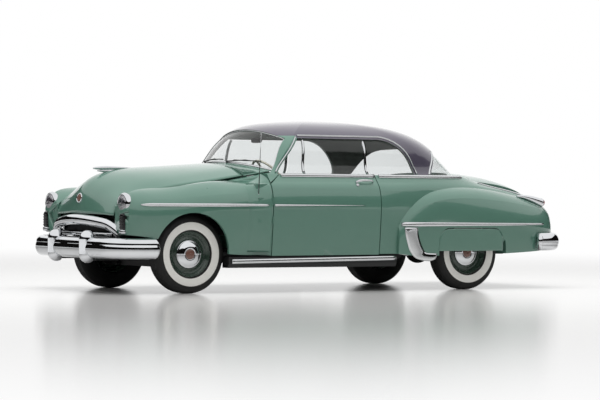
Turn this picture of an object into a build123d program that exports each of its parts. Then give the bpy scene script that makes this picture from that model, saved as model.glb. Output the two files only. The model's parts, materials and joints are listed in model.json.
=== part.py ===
"""A two-door hardtop coupe of about 1950, built as separate panels, glass, chassis and running gear.

Millimetres. +X points to the rear, +Y to the car's right, +Z up. The origin is on the ground, under the
middle of the car's length and width. Stations of the front are counted from the front axle, stations of
the tail from the rear axle.
"""

import os
from math import asin, cos, degrees, sin

from build123d import *

os.makedirs("parts", exist_ok=True)

# Driving dimensions
LENGTH = 5131
WIDTH = 1910
HEIGHT = 1585
WHEELBASE = 3035
FRONT_OVERHANG = 850
FRONT_TRACK = 1448
REAR_TRACK = 1499
TYRE_RADIUS = 352
TYRE_WIDTH = 192
RIM_RADIUS = 192
BELT_Z = 1078
SILL_Z = 228
PANEL_GAP = 6
DOOR_GAP = 9
SEAT_GAP = 0.3
SKIN = 28
DOOR_WALL = 90
ROOF_WALL = 26
GLASS = 6
PIN_GAP = 0.1

# Places that the driving dimensions set
HALF_WIDTH = WIDTH / 2
NOSE_X = -LENGTH / 2
TAIL_X = LENGTH / 2
FRONT_AXLE_X = NOSE_X + FRONT_OVERHANG
REAR_AXLE_X = FRONT_AXLE_X + WHEELBASE
AXLE_Z = TYRE_RADIUS
COWL_X = FRONT_AXLE_X + 640
DOOR_FRONT_X = FRONT_AXLE_X + 805
DOOR_REAR_X = REAR_AXLE_X - 1050
FAR = 6000


def front(x):
    """A station counted rearwards from the front axle."""
    return FRONT_AXLE_X + x


def rear(x):
    """A station counted rearwards from the rear axle."""
    return REAR_AXLE_X + x


def save(part, name):
    """Labels a finished piece and writes it under its node's name."""
    part.label = name
    export_step(part, f"parts/{name}.step")


def save_pair(right, stem):
    """Writes a piece of the car's right side and its mirror image on the left."""
    save(right, f"{stem}_right")
    with BuildPart() as left:
        add(mirror(right, about=Plane.XZ, mode=Mode.PRIVATE))
    save(left.part, f"{stem}_left")


def arc_line(points):
    """The points of a smooth line, each span with the point that an arc through its middle needs."""
    ends = [Vector(*p) for p in points]
    wide = [ends[0] * 2 - ends[1], *ends, ends[-1] * 2 - ends[-2]]
    line = []
    for i, start in enumerate(ends[:-1]):
        line += [start, ((wide[i + 1] + wide[i + 2]) * 9 - wide[i] - wide[i + 3]) / 16]
    return [*line, ends[-1]]


def beside(line, distance):
    """The same line set off to its right-hand side."""
    moved = []
    for i, point in enumerate(line):
        along = (line[min(i + 1, len(line) - 1)] - line[max(i - 1, 0)]).normalized()
        moved.append(point + Vector(along.Y, -along.X) * distance)
    return moved


def skin_face(plane, points, wall):
    """The section of a curved panel: arcs through the points outside, and arcs one wall further in."""
    outside = arc_line(points)
    inside = beside(outside, wall)
    with BuildSketch(plane) as section:
        with BuildLine():
            for i in range(0, len(outside) - 1, 2):
                ThreePointArc(*outside[i : i + 3])
            Line(outside[-1], inside[-1])
            for i in range(len(inside) - 1, 0, -2):
                ThreePointArc(inside[i], inside[i - 1], inside[i - 2])
            Line(inside[0], outside[0])
        make_face()
    return section.sketch


def dome(tip, edge, radius):
    """An arc centred on the axis of a revolved section, from an edge at a radius to the tip on the axis."""
    sag = abs(tip - edge)
    ball = (radius**2 + sag**2) / (2 * sag)
    half = asin(radius / ball) / 2
    toward = 1 if tip > edge else -1
    middle = (tip - toward * ball * (1 - cos(half)), ball * sin(half))
    return ThreePointArc((edge, radius), middle, (tip, 0))


def cross_plane(x):
    """The plane across the car at a station, with Y and Z as its axes."""
    return Plane.YZ.offset(x)


def long_plane(y):
    """The upright plane along the car at a distance from its middle, with X and Z as its axes."""
    return Plane.XZ.offset(-y)


def side_prism(points, y_low, y_high):
    """A solid with a straight-sided outline seen from the side, from one side plane to another."""
    with BuildPart() as prism:
        with BuildSketch(long_plane(y_low)):
            with BuildLine():
                Polyline(*points, close=True)
            make_face()
        extrude(amount=y_low - y_high)
    return prism.part


def plan_prism(points, z_low, z_high):
    """A solid with a straight-sided outline seen from above."""
    with BuildPart() as prism:
        with BuildSketch(Plane.XY.offset(z_low)):
            with BuildLine():
                Polyline(*points, close=True)
            make_face()
        extrude(amount=z_high - z_low)
    return prism.part


def block(x, y, z):
    """A box between two values of each axis."""
    with BuildPart() as box:
        with Locations(((x[0] + x[1]) / 2, (y[0] + y[1]) / 2, (z[0] + z[1]) / 2)):
            Box(x[1] - x[0], y[1] - y[0], z[1] - z[0])
    return box.part


HINGE_RADIUS = 6
HINGE_PIN = 3
HINGE_GAP = 1


def hinge_piece(centre, along, offset, length, radius):
    """A round piece of a hinge, some way along its pin from the hinge's middle."""
    with BuildPart() as piece:
        with BuildSketch(Plane(origin=centre + along * (offset - length / 2), z_dir=along)):
            Circle(radius)
        extrude(amount=length)
    return piece.part


def hinge_halves(centre, along, length):
    """The moving barrel and the fixed ears with their pin, then the room that each needs in the other panel."""
    barrel_length = length * 0.46
    ear_length = (length - barrel_length) / 2 - HINGE_GAP
    ear_place = (length - ear_length) / 2
    with BuildPart() as moving:
        add(hinge_piece(centre, along, 0, barrel_length, HINGE_RADIUS))
        add(hinge_piece(centre, along, 0, length, HINGE_PIN + PIN_GAP), mode=Mode.SUBTRACT)
    with BuildPart() as fixed:
        add(hinge_piece(centre, along, 0, length, HINGE_PIN))
        for s in (1, -1):
            add(hinge_piece(centre, along, s * ear_place, ear_length, HINGE_RADIUS))
    with BuildPart() as moving_room:
        add(hinge_piece(centre, along, 0, barrel_length + 2 * HINGE_GAP, HINGE_RADIUS + HINGE_GAP))
    with BuildPart() as fixed_room:
        for s in (1, -1):
            add(hinge_piece(centre, along, s * ear_place, ear_length + 2 * HINGE_GAP, HINGE_RADIUS + HINGE_GAP))
    return moving.part, fixed.part, moving_room.part, fixed_room.part


def side_points(row):
    """A body side's line from its upper edge to its lower one. Each pair is an inset from half the width, and a height."""
    return [(HALF_WIDTH - row[i], row[i + 1]) for i in range(0, len(row), 2)]


# Headlamps: a round bezel and a domed lens on the front of each fender
LAMP_X = front(-612)
LAMP_Y = 700
LAMP_Z = 797
LAMP_RADIUS = 98
with BuildPart() as headlamps:
    with BuildSketch(Plane(origin=(LAMP_X, LAMP_Y, LAMP_Z), x_dir=(-1, 0, 0), z_dir=(0, 1, 0))):
        with BuildLine():
            Polyline((-40, 0), (-40, LAMP_RADIUS - 16), (-6, LAMP_RADIUS - 6), (2, LAMP_RADIUS))
            ThreePointArc((2, LAMP_RADIUS), (26, LAMP_RADIUS - 6), (34, LAMP_RADIUS - 20))
            dome(50, 34, LAMP_RADIUS - 20)
            Line((50, 0), (-40, 0))
        make_face()
    revolve(axis=Axis((LAMP_X, LAMP_Y, LAMP_Z), (1, 0, 0)))
    add(mirror(headlamps.part, about=Plane.XZ, mode=Mode.PRIVATE))
save(headlamps.part, "headlamps")

# Front fenders: a crowned wing from the headlamp to the door, with a round wheel arch
ARCH_X = front(-25)
ARCH_RADIUS = TYRE_RADIUS + 20
DOOR_HINGE_X = DOOR_FRONT_X - DOOR_GAP / 2
DOOR_HINGE_Y = HALF_WIDTH - 42
DOOR_HINGES = [hinge_halves(Vector(DOOR_HINGE_X, DOOR_HINGE_Y, z), Vector(0, 0, 1), 64) for z in (660, 830)]
# station, then inset and height of the upper edge, crest, shoulder, widest line and lower edge
FRONT_FENDER_ROWS = [
    (-632, 402, 780, 258, 855, 172, 785, 146, 690, 172, 524),
    (-570, 399, 826, 253, 903, 122, 814, 86, 691, 112, 518),
    (-320, 383, 890, 240, 940, 100, 845, 50, 700, 85, 480),
    (0, 362, 952, 227, 970, 87, 866, 40, 715, 70, 410),
    (400, 335, 1012, 200, 998, 74, 896, 37, 730, 68, 350),
    (805 - DOOR_GAP, 298, 1083, 155, 1042, 66, 938, 37, 755, 70, 338),
]
with BuildPart() as front_fender:
    loft([skin_face(cross_plane(front(x)), side_points(row), SKIN) for x, *row in FRONT_FENDER_ROWS])
    with BuildSketch(cross_plane(front(FRONT_FENDER_ROWS[0][0]))):
        nose = arc_line(side_points(FRONT_FENDER_ROWS[0][1:]))
        with BuildLine():
            for i in range(0, len(nose) - 1, 2):
                ThreePointArc(*nose[i : i + 3])
            Polyline(nose[-1], (nose[0].X, nose[-1].Y), nose[0])
        make_face()
    extrude(amount=SKIN)
    add(headlamps.part, mode=Mode.SUBTRACT)
    with Locations((ARCH_X, HALF_WIDTH, AXLE_Z)):
        Cylinder(ARCH_RADIUS, 700, rotation=(90, 0, 0), mode=Mode.SUBTRACT)
    with Locations((ARCH_X, HALF_WIDTH, 0)):
        Box(2 * ARCH_RADIUS, 700, 2 * AXLE_Z, mode=Mode.SUBTRACT)
    add(block((front(300), front(900)), (0, FAR), (0, 334)), mode=Mode.SUBTRACT)
    # the fixed halves of the door's hinges stand on the fender's rear edge
    for moving, fixed, moving_room, fixed_room in DOOR_HINGES:
        add(moving_room, mode=Mode.SUBTRACT)
        add(fixed)
save_pair(front_fender.part, "front_fender")

# Hood: one crowned panel from the cowl to the lip over the grille, hinged along its rear edge
LID_GAP = 8
HOOD_REAR_X = COWL_X - LID_GAP
HOOD_HINGE_Z = 1167
HOOD_HINGES = [
    hinge_halves(Vector(COWL_X - LID_GAP / 2, y, HOOD_HINGE_Z), Vector(0, 1, 0), 64) for y in (70, -70)
]
HOOD_HALF_REAR = 634 - PANEL_GAP
HOOD_HALF_FRONT = 545 - PANEL_GAP
# half width, then station and height of the rear edge, crown, brow, nose and lip
HOOD_ROWS = [
    (0, 634, 1172, 163, 1138, -430, 1086, -672, 930, -703, 706),
    (150, 634, 1166, 150, 1126, -400, 1066, -610, 905, -694, 705),
    (300, 634, 1150, 120, 1096, -365, 1022, -518, 875, -676, 702),
    (480, 634, 1116, 100, 1036, -310, 960, -520, 840, -650, 696),
    (650, 634, 1070, 100, 915, -370, 868, -566, 800, -635, 690),
]
HOOD_SECTIONS = [(-row[0], *row[1:]) for row in HOOD_ROWS[:0:-1]] + HOOD_ROWS


def long_points(row):
    """A line along the car. Each pair is a station from the front axle, and a height."""
    return [(front(row[i]), row[i + 1]) for i in range(0, len(row), 2)]


with BuildPart() as hood:
    loft([skin_face(long_plane(y), long_points(row)[::-1], SKIN) for y, *row in HOOD_SECTIONS])
    add(
        plan_prism(
            [
                (HOOD_REAR_X, HOOD_HALF_REAR),
                (front(-760), HOOD_HALF_FRONT),
                (front(-760), -HOOD_HALF_FRONT),
                (HOOD_REAR_X, -HOOD_HALF_REAR),
            ],
            0,
            HEIGHT,
        ),
        mode=Mode.INTERSECT,
    )
    for moving, fixed, moving_room, fixed_room in HOOD_HINGES:
        add(fixed_room, mode=Mode.SUBTRACT)
        add(moving)
    # a plain streamlined ornament along the middle
    ornament = Plane(origin=(front(-563), 0, 1114), x_dir=(1, 0, 0.01), z_dir=(0, -1, 0))
    with BuildSketch(ornament):
        with BuildLine():
            ThreePointArc((0, 0), (50, 13), (130, 17))
            ThreePointArc((130, 17), (290, 12), (400, 0))
            Line((400, 0), (0, 0))
        make_face()
    revolve(axis=Axis(ornament.origin, ornament.x_dir))
    add(
        side_prism(
            [(front(-515), 1050), (front(-500), 1114), (front(-170), 1116), (front(-150), 1085)],
            -9,
            9,
        )
    )
save(hood.part, "hood")

# Body sides: one section from the front door seam to the rear one, shared by the doors and the cowl's sides
DOOR_HEM = 24
DOOR_HEM_LENGTH = 32
SEAM_KNEE_Z = BELT_Z - 93
SEAM_KNEE_X = DOOR_FRONT_X + 135
# share of the door's length, then inset and height of the upper edge, crest, shoulder, widest line and lower edge
SIDE_ROWS = [
    (0.0, 248, BELT_Z + 102, 110, BELT_Z - 70, 63, 928, 38, 757, 70, 335),
    (0.5, 244, BELT_Z + 102, 105, BELT_Z - 68, 59, 932, 35, 760, 67, 337),
    (1.0, 249, BELT_Z + 102, 110, BELT_Z - 68, 62, 930, 38, 760, 70, 339),
]


def body_side(x_front, x_rear, wall):
    """The right body side between two stations, cut level at the belt."""
    with BuildPart() as side:
        loft(
            [
                skin_face(cross_plane(x_front + share * (x_rear - x_front)), side_points(row), wall)
                for share, *row in SIDE_ROWS
            ]
        )
        add(block((-FAR, FAR), (-FAR, FAR), (BELT_Z, FAR)), mode=Mode.SUBTRACT)
    return side.part


def cowl_corner(gap):
    """The corner of the body side that stays with the cowl, under the windscreen pillar."""
    knee = DOOR_FRONT_X - gap
    return side_prism(
        [
            (knee, SEAM_KNEE_Z + gap),
            (SEAM_KNEE_X - gap, BELT_Z),
            (SEAM_KNEE_X - gap, FAR),
            (knee - 200, FAR),
            (knee - 200, SEAM_KNEE_Z + gap),
        ],
        0,
        FAR,
    )


# Doors: the full depth of the body side, with an outer hem that laps the rear jamb
DOOR_TOP_GAP = 6
with BuildPart() as door:
    add(body_side(DOOR_FRONT_X, DOOR_REAR_X - DOOR_GAP, DOOR_HEM))
    add(body_side(DOOR_FRONT_X, DOOR_REAR_X - DOOR_GAP - DOOR_HEM_LENGTH, DOOR_WALL))
    add(cowl_corner(0), mode=Mode.SUBTRACT)
    add(block((-FAR, FAR), (-FAR, FAR), (BELT_Z - DOOR_TOP_GAP, FAR)), mode=Mode.SUBTRACT)
    for moving, fixed, moving_room, fixed_room in DOOR_HINGES:
        add(fixed_room, mode=Mode.SUBTRACT)
        add(moving)
save_pair(door.part, "door")

# Cowl: the arched panel ahead of the windscreen, its sides under the pillars, and the firewall
COWL_REAR_X = SEAM_KNEE_X - DOOR_GAP
FIREWALL_X = COWL_X + 18
FLOOR_Z = 394
FLOOR_WALL = 24
# half width and height of the cowl's arch
COWL_ARCH = [(-700, 1074), (-520, 1122), (0, 1172), (520, 1122), (700, 1074)]
with BuildPart() as cowl:
    loft([skin_face(cross_plane(x), COWL_ARCH, SKIN) for x in (COWL_X, COWL_REAR_X)])
    add(
        plan_prism(
            [
                (COWL_X, 632),
                (DOOR_FRONT_X - DOOR_GAP, 648),
                (DOOR_FRONT_X - DOOR_GAP, 664),
                (COWL_REAR_X, 664),
                (COWL_REAR_X, -664),
                (DOOR_FRONT_X - DOOR_GAP, -664),
                (DOOR_FRONT_X - DOOR_GAP, -648),
                (COWL_X, -632),
            ],
            0,
            FAR,
        ),
        mode=Mode.INTERSECT,
    )
    with BuildPart(mode=Mode.PRIVATE) as cowl_side:
        add(body_side(DOOR_FRONT_X, DOOR_REAR_X, DOOR_WALL))
        add(cowl_corner(DOOR_GAP), mode=Mode.INTERSECT)
        add(block((DOOR_FRONT_X - DOOR_GAP, DOOR_FRONT_X + 42), (640, 735), (SEAM_KNEE_Z + 38, 1064)))
    add(cowl_side.part)
    add(mirror(cowl_side.part, about=Plane.XZ, mode=Mode.PRIVATE))
    with BuildSketch(cross_plane(FIREWALL_X)):
        with BuildLine():
            ThreePointArc((-630, 1078), (0, 1158), (630, 1078))
            Polyline((630, 1078), (630, FLOOR_Z), (-630, FLOOR_Z), (-630, 1078))
        make_face()
    extrude(amount=SKIN)
    for s in (1, -1):
        # the hinge post between the firewall and the door, against the fender's inner face
        add(block((FIREWALL_X, DOOR_FRONT_X - DOOR_GAP), sorted((s * 600, s * 850)), (FLOOR_Z, SEAM_KNEE_Z)))
        add(block((FIREWALL_X, DOOR_FRONT_X - DOOR_GAP), sorted((s * 850, s * 893)), (640, 860)))
    add(front_fender.part, mode=Mode.SUBTRACT)
    add(mirror(front_fender.part, about=Plane.XZ, mode=Mode.PRIVATE), mode=Mode.SUBTRACT)
    for moving, fixed, moving_room, fixed_room in HOOD_HINGES:
        add(moving_room, mode=Mode.SUBTRACT)
        add(fixed)
save(cowl.part, "cowl")

# Quarter panels: the body side behind the door, running back beside the trunk
QUARTER_WALL = 60
# station, then inset and height of the upper edge, crest, shoulder, widest line and lower edge
QUARTER_ROWS = [
    (DOOR_REAR_X - REAR_AXLE_X, 249, BELT_Z + 102, 110, BELT_Z - 68, 62, 930, 38, 760, 70, 345),
    (-735, 253, BELT_Z + 102, 114, BELT_Z - 68, 70, 930, 54, 760, 76, 345),
    (-335, 276, BELT_Z + 90, 144, BELT_Z - 68, 105, 920, 88, 760, 106, 345),
    (165, 312, 1040, 220, 985, 165, 900, 145, 740, 156, 360),
    (665, 365, 944, 275, 913, 215, 838, 195, 700, 210, 390),
    (1045, 410, 806, 335, 784, 295, 722, 285, 620, 300, 440),
]

# Rear fenders: a full teardrop standing off the quarter panel, hollowed for the wheel
WHEELHOUSE_RADIUS = TYRE_RADIUS + 45
FENDER_SKIN = 30
# station, then inset and height of the inner edge, crest, shoulder, widest line and lower edge
REAR_FENDER_ROWS = [
    (-850, 95, 640, 70, 632, 42, 560, 34, 470, 48, 345),
    (-735, 105, 792, 75, 786, 26, 690, 10, 560, 28, 332),
    (-555, 130, 905, 92, 900, 18, 800, 0, 610, 20, 326),
    (-285, 165, 962, 122, 956, 26, 860, 0, 640, 17, 330),
    (65, 205, 966, 152, 960, 48, 866, 5, 640, 25, 335),
    (465, 265, 926, 195, 920, 86, 832, 30, 620, 55, 345),
    (865, 315, 852, 255, 847, 156, 772, 99, 590, 120, 365),
    (1045, 365, 790, 304, 784, 225, 716, 188, 570, 205, 390),
    (1120, 430, 720, 396, 716, 346, 664, 326, 560, 336, 430),
]


def fender_face(plane, points):
    """A rear fender's section: arcs through the points outside, closed by a straight inner face."""
    outside = arc_line(points)
    with BuildSketch(plane) as section:
        with BuildLine():
            for i in range(0, len(outside) - 1, 2):
                ThreePointArc(*outside[i : i + 3])
            Polyline(outside[-1], (outside[0].X, outside[-1].Y), outside[0])
        make_face()
    return section.sketch


with BuildPart() as fender_volume:
    loft([fender_face(cross_plane(rear(x)), side_points(row)) for x, *row in REAR_FENDER_ROWS])

# The skirt's opening: a wide arch with rounded upper corners
SKIRT_FRONT_X = rear(-412)
SKIRT_REAR_X = rear(348)
SKIRT_TOP_Z = 588
SKIRT_LOW_Z = 367
SKIRT_CORNER = 120
SKIRT_GAP = 3


def skirt_prism(inset, z_low):
    """The outline of the wheel opening that the skirt covers, seen from the side."""
    x_low, x_high, z_high = SKIRT_FRONT_X + inset, SKIRT_REAR_X - inset, SKIRT_TOP_Z - inset
    with BuildPart() as prism:
        with BuildSketch(long_plane(HALF_WIDTH - FENDER_SKIN)):
            with Locations(((x_low + x_high) / 2, (z_low + z_high) / 2)):
                outline = Rectangle(x_high - x_low, z_high - z_low)
            fillet(outline.vertices().group_by(Axis.Y)[-1], SKIRT_CORNER)
        extrude(amount=-4 * FENDER_SKIN)
    return prism.part


with BuildPart() as wheelhouse:
    with Locations((REAR_AXLE_X, HALF_WIDTH - FENDER_SKIN - 200, AXLE_Z)):
        Cylinder(WHEELHOUSE_RADIUS, 400, rotation=(90, 0, 0))
    with Locations((REAR_AXLE_X, HALF_WIDTH - FENDER_SKIN - 200, AXLE_Z / 2)):
        Box(2 * WHEELHOUSE_RADIUS, 400, AXLE_Z)

with BuildPart() as quarter:
    loft([skin_face(cross_plane(rear(x)), side_points(row), QUARTER_WALL) for x, *row in QUARTER_ROWS])
    add(block((-FAR, rear(165)), (-FAR, FAR), (BELT_Z, FAR)), mode=Mode.SUBTRACT)
    add(fender_volume.part, mode=Mode.SUBTRACT)
    add(wheelhouse.part, mode=Mode.SUBTRACT)
save_pair(quarter.part, "quarter_panel")

with BuildPart() as rear_fender:
    add(fender_volume.part)
    add(wheelhouse.part, mode=Mode.SUBTRACT)
    add(skirt_prism(0, 0), mode=Mode.SUBTRACT)
save_pair(rear_fender.part, "rear_fender")

with BuildPart() as skirt:
    add(fender_volume.part)
    add(skirt_prism(SKIRT_GAP, SKIRT_LOW_Z), mode=Mode.INTERSECT)
save_pair(skirt.part, "fender_skirt")

# Trunk lid: one crowned panel from below the rear window to the tail, hinged along its front edge
# half width, then station and height of the front edge, crown, brow, knee, tail and lip
LID_ROWS = [
    (0, 20, 1120, 415, 1094, 765, 1027, 1035, 892, 1132, 724, 1142, 575),
    (300, 40, 1112, 425, 1080, 755, 1012, 1015, 876, 1108, 718, 1118, 575),
    (560, 150, 1052, 485, 1008, 755, 946, 955, 834, 1040, 702, 1055, 575),
    (640, 210, 1014, 505, 968, 745, 910, 915, 808, 985, 692, 1000, 575),
]
LID_SECTIONS = [(-row[0], *row[1:]) for row in LID_ROWS[:0:-1]] + LID_ROWS
LID_FRONT_X = rear(300)
LID_CORNER_X = rear(190)
LID_HINGE_Z = 1101.5
LID_HINGES = [
    hinge_halves(Vector(LID_FRONT_X + LID_GAP / 2 - 0.7, y, LID_HINGE_Z), Vector(0, 1, 0), 64) for y in (40, -40)
]
LID_HALF_FRONT = 600
LID_HALF_REAR = 498


def tail_points(row):
    """A line along the tail. Each pair is a station from the rear axle, and a height."""
    return [(rear(row[i]), row[i + 1]) for i in range(0, len(row), 2)]


def lid_outline(gap):
    """The trunk lid's outline from above: a bowed front edge and sides that draw in to the tail."""
    y_front = LID_HALF_FRONT - gap
    y_rear = LID_HALF_REAR - gap
    with BuildPart() as solid:
        with BuildSketch():
            with BuildLine():
                ThreePointArc((LID_CORNER_X + gap, -y_front), (LID_FRONT_X + gap, 0), (LID_CORNER_X + gap, y_front))
                Polyline(
                    (LID_CORNER_X + gap, y_front),
                    (rear(1400), y_rear),
                    (rear(1400), -y_rear),
                    (LID_CORNER_X + gap, -y_front),
                )
            make_face()
        extrude(amount=FAR)
    return solid.part


with BuildPart() as trunk_lid:
    loft([skin_face(long_plane(y), tail_points(row), SKIN) for y, *row in LID_SECTIONS])
    add(lid_outline(LID_GAP), mode=Mode.INTERSECT)
    for moving, fixed, moving_room, fixed_room in LID_HINGES:
        add(fixed_room, mode=Mode.SUBTRACT)
        add(moving)
save(trunk_lid.part, "trunk_lid")

# Rear deck: the fixed panel between the rear window's foot and the lid, and down both sides to the quarters
# half width, then station and height of the front edge, of the line that the glass stands on, and under the lid
DECK_ROWS = [
    (0, 150, 1116, 235, 1111, 420, 1097),
    (300, 80, 1110, 165, 1107, 380, 1092),
    (430, 30, 1102, 105, 1098, 340, 1072),
    (530, -30, 1086, 60, 1080, 300, 1042),
    (650, -330, BELT_Z - SEAT_GAP, -110, BELT_Z - SEAT_GAP, 300, 1003),
]
DECK_SECTIONS = [(-row[0], *row[1:]) for row in DECK_ROWS[:0:-1]] + DECK_ROWS


def deck_face(plane, row, wall):
    """A section of the rear deck, a strip that runs from under the glass to under the lid."""
    points = tail_points(row)
    with BuildSketch(plane) as section:
        with BuildLine():
            Polyline(*points, *[(x, z - wall) for x, z in points[::-1]], close=True)
        make_face()
    return section.sketch


def deck_loft(wall):
    """The rear deck as a sheet of a given wall."""
    with BuildPart() as sheet:
        loft([deck_face(long_plane(y), row, wall) for y, *row in DECK_SECTIONS], ruled=True)
    return sheet.part


with BuildPart() as rear_deck:
    add(deck_loft(SKIN))
    add(lid_outline(0), mode=Mode.SUBTRACT)
    add(quarter.part, mode=Mode.SUBTRACT)
    add(mirror(quarter.part, about=Plane.XZ, mode=Mode.PRIVATE), mode=Mode.SUBTRACT)
    for moving, fixed, moving_room, fixed_room in LID_HINGES:
        add(moving_room, mode=Mode.SUBTRACT)
        add(fixed)
save(rear_deck.part, "rear_deck")

# Tail panel: the curved panel under the lid between the rear fenders
TAIL_PANEL_TOP = 575 - PANEL_GAP
TAIL_PANEL_LOW = 420
TAIL_PANEL_X = rear(1138)
with BuildPart() as tail_panel:
    with BuildSketch(Plane.XY.offset(TAIL_PANEL_LOW)):
        with BuildLine():
            ThreePointArc((rear(1045), -640), (TAIL_PANEL_X, 0), (rear(1045), 640))
            Line((rear(1045), 640), (rear(1045 - SKIN), 640))
            ThreePointArc((rear(1045 - SKIN), 640), (TAIL_PANEL_X - SKIN, 0), (rear(1045 - SKIN), -640))
            Line((rear(1045 - SKIN), -640), (rear(1045), -640))
        make_face()
    extrude(amount=TAIL_PANEL_TOP - TAIL_PANEL_LOW)
    for solid in (fender_volume.part, quarter.part):
        add(solid, mode=Mode.SUBTRACT)
        add(mirror(solid, about=Plane.XZ, mode=Mode.PRIVATE), mode=Mode.SUBTRACT)
save(tail_panel.part, "tail_panel")

# Greenhouse: the roof and pillars as level slices, from which the shell and all the glass are cut
# drop below the top, windscreen's middle, its corner and inset, quarter corner and inset, rear corner and
# inset, rear window's middle; stations of the first two from the front axle, of the others from the rear axle
ROOF_ROWS = [
    (HEIGHT - BELT_Z, 650, 905, 213, -395, 233, 50, 425, 225),
    (335, 795, 1040, 265, -455, 283, -115, 450, 50),
    (160, 935, 1185, 323, -690, 343, -350, 503, -205),
    (80, 1045, 1290, 420, -860, 435, -545, 583, -425),
    (25, 1270, 1450, 585, -1045, 595, -880, 695, -775),
    (5, 1510, 1590, 775, -1165, 780, -1095, 835, -1045),
    (0, 1680, 1695, 905, -1275, 905, -1262, 925, -1255),
]
SIDE_BULGE = 0.016
CORNER_BULGE = 0.1


def roof_face(row, inset):
    """One level slice through the greenhouse, drawn in by an inset."""
    drop, screen, ax, ay, cx, cy, dx, dy, back = row
    level = HEIGHT - drop - (inset if drop < HEIGHT - BELT_Z else 0)
    a = Vector(front(ax) + 0.7 * inset, HALF_WIDTH - ay - inset)
    c = Vector(rear(cx) - 0.3 * inset, HALF_WIDTH - cy - inset)
    d = Vector(rear(dx) - 0.7 * inset, HALF_WIDTH - dy - 0.7 * inset)
    side = (a + c) / 2 + Vector(0, SIDE_BULGE * (c.X - a.X))
    along = d - c
    corner = (c + d) / 2 + Vector(-along.Y, along.X) * CORNER_BULGE
    with BuildSketch(Plane.XY.offset(level)) as section:
        with BuildLine():
            ThreePointArc((a.X, -a.Y), (front(screen) + inset, 0), (a.X, a.Y))
            for s in (1, -1):
                ThreePointArc((a.X, s * a.Y), (side.X, s * side.Y), (c.X, s * c.Y))
                ThreePointArc((c.X, s * c.Y), (corner.X, s * corner.Y), (d.X, s * d.Y))
            ThreePointArc((d.X, d.Y), (rear(back) - inset, 0), (d.X, -d.Y))
        make_face()
    return section.sketch


def greenhouse(inset):
    """The solid inside the greenhouse's surface, drawn in by an inset."""
    with BuildPart() as solid:
        loft([roof_face(row, inset) for row in ROOF_ROWS])
    return solid.part


def outline_x(points, x_low, x_high):
    """A solid along X with an arch-topped outline: half width and height of the foot, the corner and the top."""
    (foot_y, foot_z, foot_mid), (head_y, head_z, head_mid) = points
    with BuildPart() as solid:
        with BuildSketch(cross_plane(x_low)):
            with BuildLine():
                ThreePointArc((-foot_y, foot_z), (0, foot_mid), (foot_y, foot_z))
                Line((foot_y, foot_z), (head_y, head_z))
                ThreePointArc((head_y, head_z), (0, head_mid), (-head_y, head_z))
                Line((-head_y, head_z), (-foot_y, foot_z))
            make_face()
        extrude(amount=x_high - x_low)
    return solid.part


# Window outlines: the glass is the opening less a seat gap, at a depth inside the shell
GLASS_DEPTH = 10
PILLAR_X = front(1330)
SCREEN_FOOT_Y = 692
SCREEN_FOOT_Z = BELT_Z + 24
SCREEN_FOOT_MID = 1178
SCREEN_HEAD_Y = 585
SCREEN_HEAD_Z = HEIGHT - 176
SCREEN_HEAD_MID = HEIGHT - 88
BACKLIGHT_FOOT_Z = BELT_Z - 8
BACKLIGHT_HEAD_Z = HEIGHT - 250
SIDE_GLASS_TOP = HEIGHT - 172


def screen_outline(gap, drop=0):
    """The windscreen's opening, seen from ahead, with its foot let down by a drop."""
    spread = drop * (SCREEN_FOOT_Y - SCREEN_HEAD_Y) / (SCREEN_HEAD_Z - SCREEN_FOOT_Z)
    foot = (SCREEN_FOOT_Y + spread - gap, SCREEN_FOOT_Z + gap - drop, SCREEN_FOOT_MID + gap - drop)
    head = (SCREEN_HEAD_Y - gap, SCREEN_HEAD_Z - gap, SCREEN_HEAD_MID - gap)
    return outline_x((foot, head), front(400), PILLAR_X)


def backlight_outline(gap):
    """The rear window's opening, seen from the side: it wraps round from pillar to pillar."""
    with BuildPart() as solid:
        with BuildSketch(long_plane(FAR)):
            with BuildLine():
                Line((rear(-358) + gap, BACKLIGHT_FOOT_Z), (rear(-240) + gap, BACKLIGHT_HEAD_Z - 50))
                ThreePointArc(
                    (rear(-240) + gap, BACKLIGHT_HEAD_Z - 50),
                    (rear(-218) + gap, BACKLIGHT_HEAD_Z - 15 - gap),
                    (rear(-175), BACKLIGHT_HEAD_Z - gap),
                )
                Polyline(
                    (rear(-175), BACKLIGHT_HEAD_Z - gap),
                    (rear(600), BACKLIGHT_HEAD_Z + 145 - gap),
                    (rear(600), BACKLIGHT_FOOT_Z),
                    (rear(-358) + gap, BACKLIGHT_FOOT_Z),
                )
            make_face()
        extrude(amount=2 * FAR)
    return solid.part


def side_outline(gap, x_low, x_high):
    """The opening over the door and the quarter, seen from the side, between two stations."""
    with BuildPart() as solid:
        with BuildSketch(long_plane(300)):
            with BuildLine():
                Polyline(
                    (front(945) + 1.6 * gap, BELT_Z - 20),
                    (front(945) + 1.6 * gap, BELT_Z),
                    (front(1218) + 1.6 * gap, SIDE_GLASS_TOP - gap),
                    (rear(-960) - gap, SIDE_GLASS_TOP - gap),
                )
                ThreePointArc(
                    (rear(-960) - gap, SIDE_GLASS_TOP - gap),
                    (rear(-690) - gap, BELT_Z + 252 - gap),
                    (rear(-545) - gap, BELT_Z),
                )
                Polyline(
                    (rear(-545) - gap, BELT_Z),
                    (rear(-545) - gap, BELT_Z - 20),
                    (front(945) + 1.6 * gap, BELT_Z - 20),
                )
            make_face()
        extrude(amount=-FAR)
        add(block((x_low, x_high), (0, FAR), (0, FAR)), mode=Mode.INTERSECT)
    return solid.part


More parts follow.
